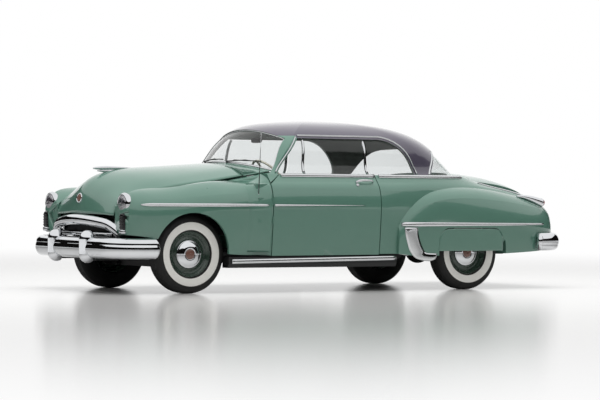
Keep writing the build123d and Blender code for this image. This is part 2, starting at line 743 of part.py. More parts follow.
with BuildPart() as roof_shell:
    add(greenhouse(0))
    add(greenhouse(ROOF_WALL), mode=Mode.SUBTRACT)
    add(screen_outline(0, drop=150), mode=Mode.SUBTRACT)
    add(backlight_outline(0), mode=Mode.SUBTRACT)
    add(rear_deck.part, mode=Mode.SUBTRACT)
    add(side_outline(0, -FAR, FAR), mode=Mode.SUBTRACT)
    add(mirror(side_outline(0, -FAR, FAR), about=Plane.XZ, mode=Mode.PRIVATE), mode=Mode.SUBTRACT)

# The two windscreen pillars are body-coloured pieces of their own, split from the roof at the header corner
PILLAR_SPLIT = [
    (front(600), BELT_Z - 60),
    (front(600), HEIGHT - 150),
    (front(1210), HEIGHT - 150),
    (front(1330), BELT_Z - 60),
]
with BuildPart() as pillars:
    add(roof_shell.part)
    add(side_prism(PILLAR_SPLIT, -FAR, FAR), mode=Mode.INTERSECT)
save(pillars.part, "windscreen_pillars")

with BuildPart() as roof:
    add(roof_shell.part)
    add(side_prism(PILLAR_SPLIT, -FAR, FAR), mode=Mode.SUBTRACT)
save(roof.part, "roof")

# Glass: windscreen, rear window, a pane on each door and one on each quarter
DOOR_GLASS_FRONT_X = front(945)
DOOR_GLASS_REAR_X = DOOR_REAR_X - 32
with BuildPart() as pane:
    add(greenhouse(GLASS_DEPTH))
    add(greenhouse(GLASS_DEPTH + GLASS), mode=Mode.SUBTRACT)

with BuildPart() as windscreen:
    add(pane.part)
    add(screen_outline(SEAT_GAP), mode=Mode.INTERSECT)
    add(block((-FAR, PILLAR_X), (-FAR, FAR), (0, FAR)), mode=Mode.INTERSECT)
save(windscreen.part, "windscreen")

with BuildPart() as rear_window:
    add(pane.part)
    add(backlight_outline(SEAT_GAP), mode=Mode.INTERSECT)
    # the glass stands on the deck
    add(Pos(0, 0, SEAT_GAP) * deck_loft(150), mode=Mode.SUBTRACT)
save(rear_window.part, "rear_window")

DOOR_GLASS_GAP = 6
with BuildPart() as door_glass:
    add(pane.part)
    add(side_outline(DOOR_GLASS_GAP, DOOR_GLASS_FRONT_X, DOOR_GLASS_REAR_X), mode=Mode.INTERSECT)
    # the pane's foot runs down to the door's upper edge
    add(block((-FAR, FAR), (-FAR, FAR), (0, BELT_Z)), mode=Mode.SUBTRACT)
    feet = faces().filter_by(Axis.Z).group_by(Axis.Z)[0]
    extrude(feet, amount=DOOR_TOP_GAP + 40, dir=(0, 0, -1))
    add(door.part, mode=Mode.SUBTRACT)
save_pair(door_glass.part, "door_glass")

with BuildPart() as quarter_glass:
    add(pane.part)
    add(side_outline(SEAT_GAP, DOOR_GLASS_REAR_X + 14, FAR), mode=Mode.INTERSECT)
    add(mirror(quarter_glass.part, about=Plane.XZ, mode=Mode.PRIVATE))
save(quarter_glass.part, "quarter_glass")

# Sills: a box section under each door, from the front wheel arch to the rear fender
SILL_SECTION = [
    (185, SILL_Z),
    (90, SILL_Z),
    (70, SILL_Z + 34),
    (70, 327),
    (170, 327),
    (170, FLOOR_Z - FLOOR_WALL),
    (185, FLOOR_Z - FLOOR_WALL),
]
with BuildPart() as sills:
    with BuildSketch(cross_plane(ARCH_X + ARCH_RADIUS + 6)):
        with BuildLine():
            Polyline(*[(HALF_WIDTH - y, z) for y, z in SILL_SECTION], close=True)
        make_face()
    extrude(amount=rear(-856) - ARCH_X - ARCH_RADIUS - 6)
    add(mirror(sills.part, about=Plane.XZ, mode=Mode.PRIVATE))
save(sills.part, "sills")

# Floor: the cabin floor, its step up to the trunk, the bulkhead behind the rear seat and the shelf over it
TRUNK_FLOOR_Z = 548
BULKHEAD_X = rear(-330)
SHELF_Z = BELT_Z - 45
with BuildPart() as floor_pan:
    add(
        side_prism(
            [
                (FIREWALL_X, FLOOR_Z - FLOOR_WALL),
                (rear(-800), FLOOR_Z - FLOOR_WALL),
                (rear(-600), TRUNK_FLOOR_Z),
                (rear(1010), TRUNK_FLOOR_Z),
                (rear(1010), TRUNK_FLOOR_Z + FLOOR_WALL),
                (rear(-610), TRUNK_FLOOR_Z + FLOOR_WALL),
                (rear(-810), FLOOR_Z),
                (FIREWALL_X, FLOOR_Z),
            ],
            -572,
            572,
        )
    )
    for s in (1, -1):
        add(block((FIREWALL_X, rear(-862)), sorted((s * 550, s * 782)), (FLOOR_Z - FLOOR_WALL, FLOOR_Z)))
    add(block((BULKHEAD_X, BULKHEAD_X + FLOOR_WALL), (-560, 560), (TRUNK_FLOOR_Z, SHELF_Z)))
    add(block((BULKHEAD_X - 120, rear(80)), (-560, 560), (SHELF_Z - FLOOR_WALL, SHELF_Z)))
save(floor_pan.part, "floor_pan")

# Frame: two rails that step in for the front wheels and rise over the rear axle, with jacking pads below
RAIL_Y = (540, 610)
RAIL_FRONT_Y = (330, 400)
RAIL_LOW_Z = 250
RAIL_TOP_Z = 345
PAD_RADIUS = 40
PAD_DROP = 12
PAD_X = (front(900), rear(-900))
BODY_MOUNTS = [
    (front(950), 575, RAIL_TOP_Z, FLOOR_Z - FLOOR_WALL),
    (rear(-1100), 575, RAIL_TOP_Z, FLOOR_Z - FLOOR_WALL),
    (rear(-100), 556, 515, TRUNK_FLOOR_Z),
]
with BuildPart() as frame_rails:
    add(block((front(-740), front(480)), RAIL_FRONT_Y, (RAIL_LOW_Z + 40, RAIL_TOP_Z + 40)))
    add(
        plan_prism(
            [
                (front(430), RAIL_FRONT_Y[0]),
                (front(480), RAIL_FRONT_Y[0]),
                (front(840), RAIL_Y[0]),
                (front(840), RAIL_Y[1]),
                (front(760), RAIL_Y[1]),
                (front(430), RAIL_FRONT_Y[1]),
            ],
            RAIL_LOW_Z + 10,
            RAIL_TOP_Z,
        )
    )
    add(
        side_prism(
            [
                (front(760), RAIL_LOW_Z),
                (rear(-715), RAIL_LOW_Z),
                (rear(-435), 425),
                (rear(295), 425),
                (rear(485), 380),
                (rear(900), 380),
                (rear(900), 470),
                (rear(495), 470),
                (rear(315), 515),
                (rear(-455), 515),
                (rear(-735), RAIL_TOP_Z),
                (front(760), RAIL_TOP_Z),
            ],
            *RAIL_Y,
        )
    )
    for x in PAD_X:
        with Locations((x, sum(RAIL_Y) / 2, RAIL_LOW_Z - PAD_DROP / 2)):
            Cylinder(PAD_RADIUS - 6, PAD_DROP)
    for x, y, low, high in BODY_MOUNTS:
        with Locations((x, y, (low + high) / 2)):
            Cylinder(14, high - low)
    add(mirror(frame_rails.part, about=Plane.XZ, mode=Mode.PRIVATE))
save(frame_rails.part, "frame_rails")

# Cross members between the rails, with the spring towers at the front
with BuildPart() as cross_members:
    add(block((front(-740), front(-690)), (-RAIL_FRONT_Y[0], RAIL_FRONT_Y[0]), (RAIL_LOW_Z + 50, RAIL_TOP_Z)))
    add(block((front(-90), front(90)), (-RAIL_FRONT_Y[0], RAIL_FRONT_Y[0]), (RAIL_LOW_Z - 25, RAIL_LOW_Z + 55)))
    add(block((front(1300), front(1370)), (-RAIL_Y[0], RAIL_Y[0]), (RAIL_LOW_Z - 22, RAIL_LOW_Z + 12)))
    add(block((rear(400), rear(455)), (-RAIL_Y[0], RAIL_Y[0]), (400, 460)))
    add(block((rear(845), rear(900)), (-RAIL_Y[0], RAIL_Y[0]), (400, 460)))
    for s in (1, -1):
        add(block((front(-60), front(60)), sorted((s * 325, s * 400)), (RAIL_TOP_Z + 40, 500)))
save(cross_members.part, "cross_members")

# Front suspension: lower and upper arms, and a plain column in the place of each coil spring
KINGPIN_Y = FRONT_TRACK / 2 - 92
KINGPIN_LOW_Z = AXLE_Z - 97
KINGPIN_TOP_Z = AXLE_Z + 90
ARM = 28
with BuildPart() as suspension:
    for half, inner, z in ((130, RAIL_FRONT_Y[0], KINGPIN_LOW_Z - ARM), (70, RAIL_FRONT_Y[1], KINGPIN_TOP_Z)):
        add(
            plan_prism(
                [
                    (front(-half), inner),
                    (front(half), inner),
                    (front(30), KINGPIN_Y + 24),
                    (front(-30), KINGPIN_Y + 24),
                ],
                z,
                z + ARM,
            )
        )
    with Locations((front(0), 455, (KINGPIN_LOW_Z + KINGPIN_TOP_Z) / 2)):
        Cylinder(42, KINGPIN_TOP_Z - KINGPIN_LOW_Z)
    add(mirror(suspension.part, about=Plane.XZ, mode=Mode.PRIVATE))
save(suspension.part, "front_suspension")

# Knuckles: a kingpin, a spindle for the front wheel, a brake plate and a steering arm
SPINDLE_RADIUS = 22
SPINDLE_END = 22
with BuildPart() as knuckle:
    with Locations((front(0), KINGPIN_Y, (KINGPIN_LOW_Z + KINGPIN_TOP_Z) / 2)):
        Cylinder(20, KINGPIN_TOP_Z - KINGPIN_LOW_Z - 2 * SEAT_GAP)
    spindle_length = FRONT_TRACK / 2 + SPINDLE_END - KINGPIN_Y
    with Locations((front(0), KINGPIN_Y + spindle_length / 2, AXLE_Z)):
        Cylinder(SPINDLE_RADIUS, spindle_length, rotation=(90, 0, 0))
    with Locations((front(0), KINGPIN_Y + 40, AXLE_Z)):
        Cylinder(138, 8, rotation=(90, 0, 0))
    add(block((front(0), front(135)), (KINGPIN_Y - 14, KINGPIN_Y + 14), (AXLE_Z - 78, AXLE_Z - 56)))
save_pair(knuckle.part, "knuckle")

# Rear axle: a banjo housing with spindles at its ends, brake plates, springs and the propeller shaft
SHAFT_RADIUS = 32
SHAFT_FRONT_X = front(650)
SHAFT_FRONT_Z = 282
with BuildPart() as rear_axle:
    with Locations((REAR_AXLE_X, 0, AXLE_Z)):
        Cylinder(40, 2 * (REAR_TRACK / 2 - 52), rotation=(90, 0, 0))
        Cylinder(SPINDLE_RADIUS, 2 * (REAR_TRACK / 2 + SPINDLE_END), rotation=(90, 0, 0))
        Sphere(125)
    for s in (1, -1):
        with Locations((REAR_AXLE_X, s * (REAR_TRACK / 2 - 56), AXLE_Z)):
            Cylinder(138, 8, rotation=(90, 0, 0))
        with Locations((REAR_AXLE_X, s * 370, (AXLE_Z + TRUNK_FLOOR_Z) / 2)):
            Cylinder(45, TRUNK_FLOOR_Z - AXLE_Z)
    shaft_start = Vector(SHAFT_FRONT_X, 0, SHAFT_FRONT_Z)
    shaft_end = Vector(REAR_AXLE_X, 0, AXLE_Z)
    with BuildSketch(Plane(origin=shaft_start, z_dir=shaft_end - shaft_start)):
        Circle(SHAFT_RADIUS)
    extrude(amount=(shaft_end - shaft_start).length)
save(rear_axle.part, "rear_axle")

# Engine and gearbox, in plain blocks between the firewall and the radiator
with BuildPart() as engine:
    add(block((front(-430), front(330)), (-150, 150), (RAIL_LOW_Z + 55, 800)))
    add(block((front(-400), front(300)), (-75, 75), (800, 905)))
    with Locations((front(330), 0, 400)):
        Cone(200, 70, 260, rotation=(0, 90, 0), align=(Align.CENTER, Align.CENTER, Align.MIN))
    with Locations((front(-445), 0, 560)):
        Cylinder(190, 30, rotation=(0, 90, 0))
    add(block((front(-550), front(-500)), (-300, 300), (RAIL_TOP_Z, 730)))
    with Locations((front(-480), 0, 560)):
        Cylinder(40, 100, rotation=(0, 90, 0))
save(engine.part, "engine")

# Fuel tank under the trunk floor
with BuildPart() as fuel_tank:
    with Locations((rear(650), 0, TRUNK_FLOOR_Z - 113)):
        tank = Box(340, 720, 226)
    fillet(fuel_tank.edges().filter_by(Axis.Y), 60)
save(fuel_tank.part, "fuel_tank")

# Exhaust: one pipe with a silencer, over the axle and out under the rear bumper
PIPE_RADIUS = 24
PIPE_Y = 475
DOWNPIPE_Y = 250
PIPE_END_X = rear(1180)
PIPE_BORE = 20
PIPE_BORE_DEPTH = 150
with BuildPart() as exhaust:
    with BuildLine() as route:
        FilletPolyline(
            (front(420), DOWNPIPE_Y, 300),
            (front(900), DOWNPIPE_Y, 300),
            (front(1300), PIPE_Y, 300),
            (rear(-560), PIPE_Y, 300),
            (rear(-260), PIPE_Y, 455),
            (rear(190), PIPE_Y, 455),
            (rear(480), PIPE_Y, 285),
            (PIPE_END_X, PIPE_Y, 285),
            radius=110,
        )
    with BuildSketch(Plane(origin=route.line @ 0, z_dir=route.line % 0)):
        Circle(PIPE_RADIUS)
    sweep()
    with Locations((front(1780), PIPE_Y, 300)):
        Cylinder(50, 520, rotation=(0, 90, 0))
    add(block((front(1345), front(1368)), (PIPE_Y - 12, PIPE_Y + 12), (RAIL_LOW_Z + 12, 300)))
    with Locations((PIPE_END_X, PIPE_Y, 285)):
        Cylinder(PIPE_BORE, 2 * PIPE_BORE_DEPTH, rotation=(0, 90, 0), mode=Mode.SUBTRACT)
save(exhaust.part, "exhaust")

# Wheels: a steel disc on a drop-centre rim with its drum and hub cap, and a tyre on it, at each corner
BEAD_RADIUS = RIM_RADIUS + 1
FLANGE_RADIUS = RIM_RADIUS + 13
RIM_HALF = 74
CAP_RADIUS = 125
DRUM_RADIUS = 150
# radius and offset outwards from the wheel's middle plane
RIM_SECTION = [
    (FLANGE_RADIUS, -RIM_HALF),
    (FLANGE_RADIUS, -RIM_HALF + 6),
    (BEAD_RADIUS, -64),
    (BEAD_RADIUS - 2, -50),
    (172, -30),
    (172, 20),
    (BEAD_RADIUS - 2, 44),
    (BEAD_RADIUS, 64),
    (FLANGE_RADIUS, RIM_HALF - 6),
    (FLANGE_RADIUS, RIM_HALF),
    (RIM_RADIUS + 5, RIM_HALF),
    (RIM_RADIUS - 5, 67),
    (184, 46),
    (166, 24),
    (166, -34),
    (184, -54),
    (RIM_RADIUS - 5, -67),
    (RIM_RADIUS + 5, -RIM_HALF),
]
DISC_SECTION = [
    (SPINDLE_RADIUS + PIN_GAP, -40),
    (DRUM_RADIUS, -40),
    (DRUM_RADIUS, -9),
    (62, -9),
    (62, 20),
    (86, 22),
    (112, 36),
    (128, 44),
    (146, 33),
    (164, 6),
    (172, 6),
    (172, 14),
    (152, 42),
    (CAP_RADIUS, 53),
    (106, 47),
    (80, 32),
    (SPINDLE_RADIUS + PIN_GAP, 30),
]
CAP_BACK = 36
CAP_EDGE = 50
CAP_CROWN = 84
CAP_CENTRE = 95
WHEEL_PLACES = {
    "front_right": (FRONT_AXLE_X, FRONT_TRACK / 2, 1),
    "front_left": (FRONT_AXLE_X, -FRONT_TRACK / 2, -1),
    "rear_right": (REAR_AXLE_X, REAR_TRACK / 2, 1),
    "rear_left": (REAR_AXLE_X, -REAR_TRACK / 2, -1),
}


def wheel_plane(place):
    """A section plane through a wheel's axle, its first axis outwards and its second up."""
    x, y, side = place
    return Plane(origin=(x, y, AXLE_Z), x_dir=(0, side, 0), z_dir=(-side, 0, 0))


def axle_line(place):
    """The axis that a wheel turns on."""
    return Axis((place[0], place[1], AXLE_Z), (0, 1, 0))


for corner, place in WHEEL_PLACES.items():
    with BuildPart() as wheel:
        with BuildSketch(wheel_plane(place)):
            for section in (RIM_SECTION, DISC_SECTION):
                with BuildLine():
                    Polyline(*[(w, r) for r, w in section], close=True)
                make_face()
            with BuildLine():
                Polyline((CAP_BACK, 0), (CAP_BACK, 100), (CAP_EDGE, CAP_RADIUS - 4), (CAP_EDGE + 9, CAP_RADIUS))
                ThreePointArc((CAP_EDGE + 9, CAP_RADIUS), (CAP_CROWN - 8, 98), (CAP_CROWN, 62))
                dome(CAP_CENTRE, CAP_CROWN, 62)
                Line((CAP_CENTRE, 0), (CAP_BACK, 0))
            make_face()
        revolve(axis=axle_line(place))
    save(wheel.part, f"wheel_{corner}")

    half = TYRE_WIDTH / 2
    with BuildPart() as tyre:
        with BuildSketch(wheel_plane(place)):
            with BuildLine():
                Polyline((-62, BEAD_RADIUS + 0.5), (62, BEAD_RADIUS + 0.5), (68, FLANGE_RADIUS + 1), (77, FLANGE_RADIUS + 2))
                ThreePointArc((77, FLANGE_RADIUS + 2), (half, 272), (72, TYRE_RADIUS - 14))
                ThreePointArc((72, TYRE_RADIUS - 14), (0, TYRE_RADIUS), (-72, TYRE_RADIUS - 14))
                ThreePointArc((-72, TYRE_RADIUS - 14), (-half, 272), (-77, FLANGE_RADIUS + 2))
                Polyline((-77, FLANGE_RADIUS + 2), (-68, FLANGE_RADIUS + 1), (-62, BEAD_RADIUS + 0.5))
            make_face()
        revolve(axis=axle_line(place))
    save(tyre.part, f"tyre_{corner}")

# Bumpers: a deep bowed bar that wraps each end of the car, with two upright guards and its brackets
BUMPER_DEPTH = 50
BUMPER_BACK = 25
BUMPER_CORNER = 330
BUMPER_HALF = 600
BUMPER_BOW = 27
BUMPER_TURN = 90 - degrees(asin(2 * BUMPER_BOW * BUMPER_HALF / (BUMPER_HALF**2 + BUMPER_BOW**2)))
GUARD_Y = 305
GUARD_DEPTH = 106


def bumper(toward, height, wrap, guard_low, guard_high, guard_radius):
    """A bumper with its bar at the height of the origin; its round guards reach the car's end that way along X."""
    x_bar = toward * (LENGTH / 2 - BUMPER_DEPTH - 14)
    with BuildPart() as bar:
        with BuildLine() as route:
            middle = ThreePointArc(
                (x_bar - toward * BUMPER_BOW, -BUMPER_HALF),
                (x_bar, 0),
                (x_bar - toward * BUMPER_BOW, BUMPER_HALF),
            )
            right = JernArc(middle @ 1, middle % 1, BUMPER_CORNER, toward * BUMPER_TURN)
            Line(right @ 1, right @ 1 - Vector(toward * wrap, 0))
            left = JernArc(middle @ 0, (middle % 0) * -1, BUMPER_CORNER, -toward * BUMPER_TURN)
            end = Line(left @ 1 - Vector(toward * wrap, 0), left @ 1)
        with BuildSketch(Plane(origin=end @ 0, x_dir=(0, -1, 0), z_dir=(toward, 0, 0))):
            with BuildLine():
                ThreePointArc((-BUMPER_BACK, height * 0.48), (20, height * 0.42), (42, height * 0.16))
                ThreePointArc((42, height * 0.16), (BUMPER_DEPTH, -height * 0.06), (40, -height * 0.27))
                ThreePointArc((40, -height * 0.27), (14, -height * 0.45), (-BUMPER_BACK, -height * 0.5))
                Line((-BUMPER_BACK, -height * 0.5), (-BUMPER_BACK, height * 0.48))
            make_face()
        sweep(path=route.wires()[0])
        low, high = guard_low + guard_radius, guard_high - guard_radius
        x_guard = toward * (LENGTH / 2 - guard_radius)
        for s in (1, -1):
            with BuildPart(mode=Mode.PRIVATE) as guard:
                with Locations((x_guard, s * GUARD_Y, (low + high) / 2)):
                    Cylinder(guard_radius, high - low)
                with Locations((x_guard, s * GUARD_Y, low), (x_guard, s * GUARD_Y, high)):
                    Sphere(guard_radius)
                inner = sorted((toward * (LENGTH / 2 - GUARD_DEPTH), 0))
                add(block(inner, (-FAR, FAR), (-FAR, FAR)), mode=Mode.SUBTRACT)
            add(guard.part)
    return bar.part


BUMPER_FRONT_Z = 405
BUMPER_REAR_Z = 452
with BuildPart() as front_bumper:
    add(bumper(-1, 190, 12, -140, 155, 80).moved(Location((0, 0, BUMPER_FRONT_Z))))
    for s in (1, -1):
        add(block((front(-FRONT_OVERHANG + 60), front(-740)), sorted((s * 340, s * 390)), (335, 375)))
save(front_bumper.part, "front_bumper")

with BuildPart() as rear_bumper:
    add(bumper(1, 176, 10, -96, 162, 60).moved(Location((0, 0, BUMPER_REAR_Z))))
    for s in (1, -1):
        add(block((rear(900), TAIL_X - 60), sorted((s * 420, s * 470)), (375, 416)))
save(rear_bumper.part, "rear_bumper")

# Grille: an arched upper bar and a straight lower one, both bowed forward across the nose
with BuildPart() as grille:
    with BuildLine() as arch:
        brow = ThreePointArc((front(-662), -430, 620), (front(-712), 0, 650), (front(-662), 430, 620))
        TangentArc(brow @ 1, (front(-600), 600, 530), tangent=brow % 1)
        TangentArc(brow @ 0, (front(-600), -600, 530), tangent=(brow % 0) * -1)
    with BuildSketch(Plane(origin=brow @ 0.5, z_dir=brow % 0.5)):
        Circle(50)
    sweep(path=arch.wires()[0])
    with BuildLine() as lower:
        ThreePointArc((front(-615), -500, 520), (front(-685), 0, 520), (front(-615), 500, 520))
    with BuildSketch(Plane(origin=lower.line @ 0, z_dir=lower.line % 0)):
        Circle(26)
    sweep(path=lower.line)
    add(front_fender.part, mode=Mode.SUBTRACT)
    add(mirror(front_fender.part, about=Plane.XZ, mode=Mode.PRIVATE), mode=Mode.SUBTRACT)
save(grille.part, "grille")

# Tail lamps: a tapering pod on each rear fender's crest that ends in a round lens
# station, half width of its middle, height and radius
POD_ROWS = [(640, 752, 889, 8), (780, 748, 874, 26), (900, 736, 842, 40), (945, 728, 830, 43)]
with BuildPart() as tail_lamps:
    pod = []
    for x, y, z, r in POD_ROWS:
        with BuildSketch(cross_plane(rear(x))) as ring:
            with Locations((y, z)):
                Circle(r)
        pod.append(ring.sketch)
    loft(pod)
    x, y, z, r = POD_ROWS[-1]
    with Locations((rear(x), y, z)):
        Sphere(r - 4)
    add(fender_volume.part, mode=Mode.SUBTRACT)
    add(quarter.part, mode=Mode.SUBTRACT)
    add(mirror(tail_lamps.part, about=Plane.XZ, mode=Mode.PRIVATE))
save(tail_lamps.part, "tail_lamps")

# Seats: two benches with rounded edges
SEAT_HALF = 660
with BuildPart() as front_seat:
    add(block((front(1250), front(1760)), (-SEAT_HALF, SEAT_HALF), (FLOOR_Z + 70, FLOOR_Z + 245)))
    add(
        side_prism(
            [
                (front(1690), FLOOR_Z + 180),
                (front(1850), FLOOR_Z + 180),
                (front(1930), 1000),
                (front(1810), 1010),
            ],
            -SEAT_HALF,
            SEAT_HALF,
        )
    )
    fillet(front_seat.edges().filter_by(Axis.Y).group_by(Axis.Z)[-1], 30)
    add(block((front(1320), front(1720)), (-SEAT_HALF + 60, SEAT_HALF - 60), (FLOOR_Z, FLOOR_Z + 70)))
save(front_seat.part, "front_seat")

REAR_SEAT_HALF = 555
with BuildPart() as rear_seat:
    add(block((rear(-800), rear(-440)), (-REAR_SEAT_HALF, REAR_SEAT_HALF), (TRUNK_FLOOR_Z + FLOOR_WALL, TRUNK_FLOOR_Z + 130)))
    add(
        side_prism(
            [
                (rear(-510), TRUNK_FLOOR_Z + FLOOR_WALL),
                (rear(-345), TRUNK_FLOOR_Z + FLOOR_WALL),
                (rear(-455), SHELF_Z - 30),
                (rear(-560), SHELF_Z - 30),
            ],
            -REAR_SEAT_HALF,
            REAR_SEAT_HALF,
        )
    )
save(rear_seat.part, "rear_seat")

# Dashboard with the steering column's tube
WHEEL_CENTRE = Vector(front(1095), -370, 1045)
COLUMN_FOOT = Vector(FIREWALL_X + SKIN + 26, -370, 705)
COLUMN_AXIS = (WHEEL_CENTRE - COLUMN_FOOT).normalized()
with BuildPart() as dashboard:
    add(
        side_prism(
            [
                (FIREWALL_X + SKIN + SEAT_GAP, 820),
                (front(880), 800),
                (front(925), 880),
                (front(905), 1020),
                (FIREWALL_X + SKIN + SEAT_GAP, 1030),
            ],
            -600,
            600,
        )
    )
    with BuildSketch(Plane(origin=COLUMN_FOOT, z_dir=COLUMN_AXIS)):
        Circle(24)
    extrude(amount=(WHEEL_CENTRE - COLUMN_FOOT).length - 55)
save(dashboard.part, "dashboard")

# Steering wheel: a rim, a hub, three spokes and a stub shaft that ends above the column's tube
RIM_CENTRE_RADIUS = 208
RIM_TUBE = 11
with BuildPart() as steering_wheel:
    with Locations(Plane(origin=WHEEL_CENTRE, z_dir=COLUMN_AXIS)):
        Torus(RIM_CENTRE_RADIUS, RIM_TUBE)
        with Locations((0, 0, -22)):
            Cylinder(45, 44)
        for angle in (0, 120, 240):
            with Locations(Rotation(0, 0, angle)):
                with Locations((RIM_CENTRE_RADIUS / 2, 0, -8)):
                    Box(RIM_CENTRE_RADIUS, 20, 10)
        with Locations((0, 0, -49)):
            Cylinder(18, 10)
save(steering_wheel.part, "steering_wheel")

# Inner fenders: an apron on each side of the engine, flanged out to the fender's upper edge
APRON = 8


def apron_face(x, top_z, edge_y, edge_z):
    """An apron's section: upright beside the engine, then sloping out to the fender."""
    line = [Vector(425, 512), Vector(425, top_z), Vector(edge_y, edge_z)]
    with BuildSketch(cross_plane(front(x))) as section:
        with BuildLine():
            Polyline(*line, line[2] - Vector(0, APRON), Vector(425 + APRON, top_z - APRON), Vector(425 + APRON, 512), close=True)
        make_face()
    return section.sketch


with BuildPart() as inner_fenders:
    loft([apron_face(-490, 735, 540, 752), apron_face(FIREWALL_X - FRONT_AXLE_X, 820, 600, 930)], ruled=True)
    add(front_fender.part, mode=Mode.SUBTRACT)
    add(mirror(inner_fenders.part, about=Plane.XZ, mode=Mode.PRIVATE))
save(inner_fenders.part, "inner_fenders")
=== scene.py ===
"""Dresses the two-door hardtop coupe of about 1950 in paint, chrome, glass, rubber and cloth."""

import json
import math

import bpy
import bmesh
from mathutils import Matrix, Vector
from mathutils.bvhtree import BVHTree


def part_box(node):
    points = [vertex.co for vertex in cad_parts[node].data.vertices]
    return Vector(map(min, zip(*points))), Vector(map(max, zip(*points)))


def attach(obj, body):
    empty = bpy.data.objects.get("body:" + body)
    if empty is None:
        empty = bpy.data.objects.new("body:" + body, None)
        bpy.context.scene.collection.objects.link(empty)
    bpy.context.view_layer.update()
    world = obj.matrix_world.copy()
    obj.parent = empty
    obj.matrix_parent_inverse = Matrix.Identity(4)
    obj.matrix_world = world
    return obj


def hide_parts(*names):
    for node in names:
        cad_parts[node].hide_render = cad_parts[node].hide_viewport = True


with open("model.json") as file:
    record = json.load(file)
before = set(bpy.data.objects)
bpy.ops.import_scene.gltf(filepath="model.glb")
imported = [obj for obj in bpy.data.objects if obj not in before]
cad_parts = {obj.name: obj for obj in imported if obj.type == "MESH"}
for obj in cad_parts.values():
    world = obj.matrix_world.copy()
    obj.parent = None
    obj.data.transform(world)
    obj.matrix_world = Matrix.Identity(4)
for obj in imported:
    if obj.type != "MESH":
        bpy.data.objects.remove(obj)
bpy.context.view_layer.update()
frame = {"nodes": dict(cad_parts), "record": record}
nodes = frame["nodes"]

# The camera: a long lens from the car's left front, a little below the belt line and almost level.
# The place, the aim and the lens were fitted to the photograph's wheels, lamps and roof.
MM = 0.001
FRONT_AXLE_X = -1.7155
REAR_AXLE_X = 1.3195
PHOTO_WIDTH = 600
SENSOR_WIDTH = 36.0
FOCAL_PIXELS = 2635.2
CAMERA_AZIMUTH = math.radians(-32.419)
CAMERA_ELEVATION = math.radians(0.304)
CAMERA_ROLL = math.radians(0.524)
CAMERA_PLACE = Vector((-13.5086, -21.1901, 0.9705))

back = Vector(
    (
        math.sin(CAMERA_AZIMUTH) * math.cos(CAMERA_ELEVATION),
        -math.cos(CAMERA_AZIMUTH) * math.cos(CAMERA_ELEVATION),
        math.sin(CAMERA_ELEVATION),
    )
)
level_right = Vector((0, 0, 1)).cross(back).normalized()
level_up = back.cross(level_right)
camera_right = level_right * math.cos(CAMERA_ROLL) + level_up * math.sin(CAMERA_ROLL)
camera_up = back.cross(camera_right)
camera_data = bpy.data.cameras.new("photo_camera")
camera_data.sensor_width = SENSOR_WIDTH
camera_data.lens = FOCAL_PIXELS * SENSOR_WIDTH / PHOTO_WIDTH
camera_data.clip_end = 200
camera = bpy.data.objects.new("photo_camera", camera_data)
bpy.context.collection.objects.link(camera)
camera.matrix_world = Matrix(
    (
        (camera_right.x, camera_up.x, back.x, CAMERA_PLACE.x),
        (camera_right.y, camera_up.y, back.y, CAMERA_PLACE.y),
        (camera_right.z, camera_up.z, back.z, CAMERA_PLACE.z),
        (0, 0, 0, 1),
    )
)
bpy.context.scene.camera = camera
bpy.context.scene.view_settings.view_transform = "Standard"


# The studio: a white floor that fades into a white backdrop, under a broad lamp, with a dark curtain
# behind the camera. The curtain is what polished metal and paint show as their dark band.
def linear(hex_colour):
    """An sRGB hex colour as linear values with alpha."""
    values = [int(hex_colour[i : i + 2], 16) / 255 for i in (1, 3, 5)]
    return [v / 12.92 if v <= 0.04045 else ((v + 0.055) / 1.055) ** 2.4 for v in values] + [1.0]


def node(tree, kind, settings=None, links=None):
    """Adds a node, sets its properties (named with a dot) and sockets, and links sockets to other nodes."""
    added = tree.nodes.new(kind)
    for key, value in (settings or {}).items():
        if isinstance(key, str) and key.startswith("."):
            setattr(added, key[1:], value)
        else:
            added.inputs[key].default_value = value
    for key, (source, output) in (links or {}).items():
        tree.links.new(source.outputs[output], added.inputs[key])
    return added


def empty_tree(name):
    """A new material and its empty node tree."""
    material = bpy.data.materials.new(name)
    material.use_nodes = True
    material.node_tree.nodes.clear()
    return material, material.node_tree


def stage_mesh(name, vertices, faces, material):
    """A studio mesh that isn't part of the car."""
    mesh = bpy.data.meshes.new(name)
    mesh.from_pydata(vertices, [], faces)
    mesh.materials.append(material)
    thing = bpy.data.objects.new(name, mesh)
    bpy.context.collection.objects.link(thing)
    return thing


def seen_share(tree):
    """1 for a ray that shows a surface to the eye, in a mirror or through glass, else 0."""
    rays = node(tree, "ShaderNodeLightPath")
    seen = node(
        tree,
        "ShaderNodeMath",
        {".operation": "MAXIMUM"},
        {0: (rays, "Is Camera Ray"), 1: (rays, "Is Glossy Ray")},
    )
    return node(
        tree,
        "ShaderNodeMath",
        {".operation": "MAXIMUM"},
        {0: (seen, 0), 1: (rays, "Is Transmission Ray")},
    )


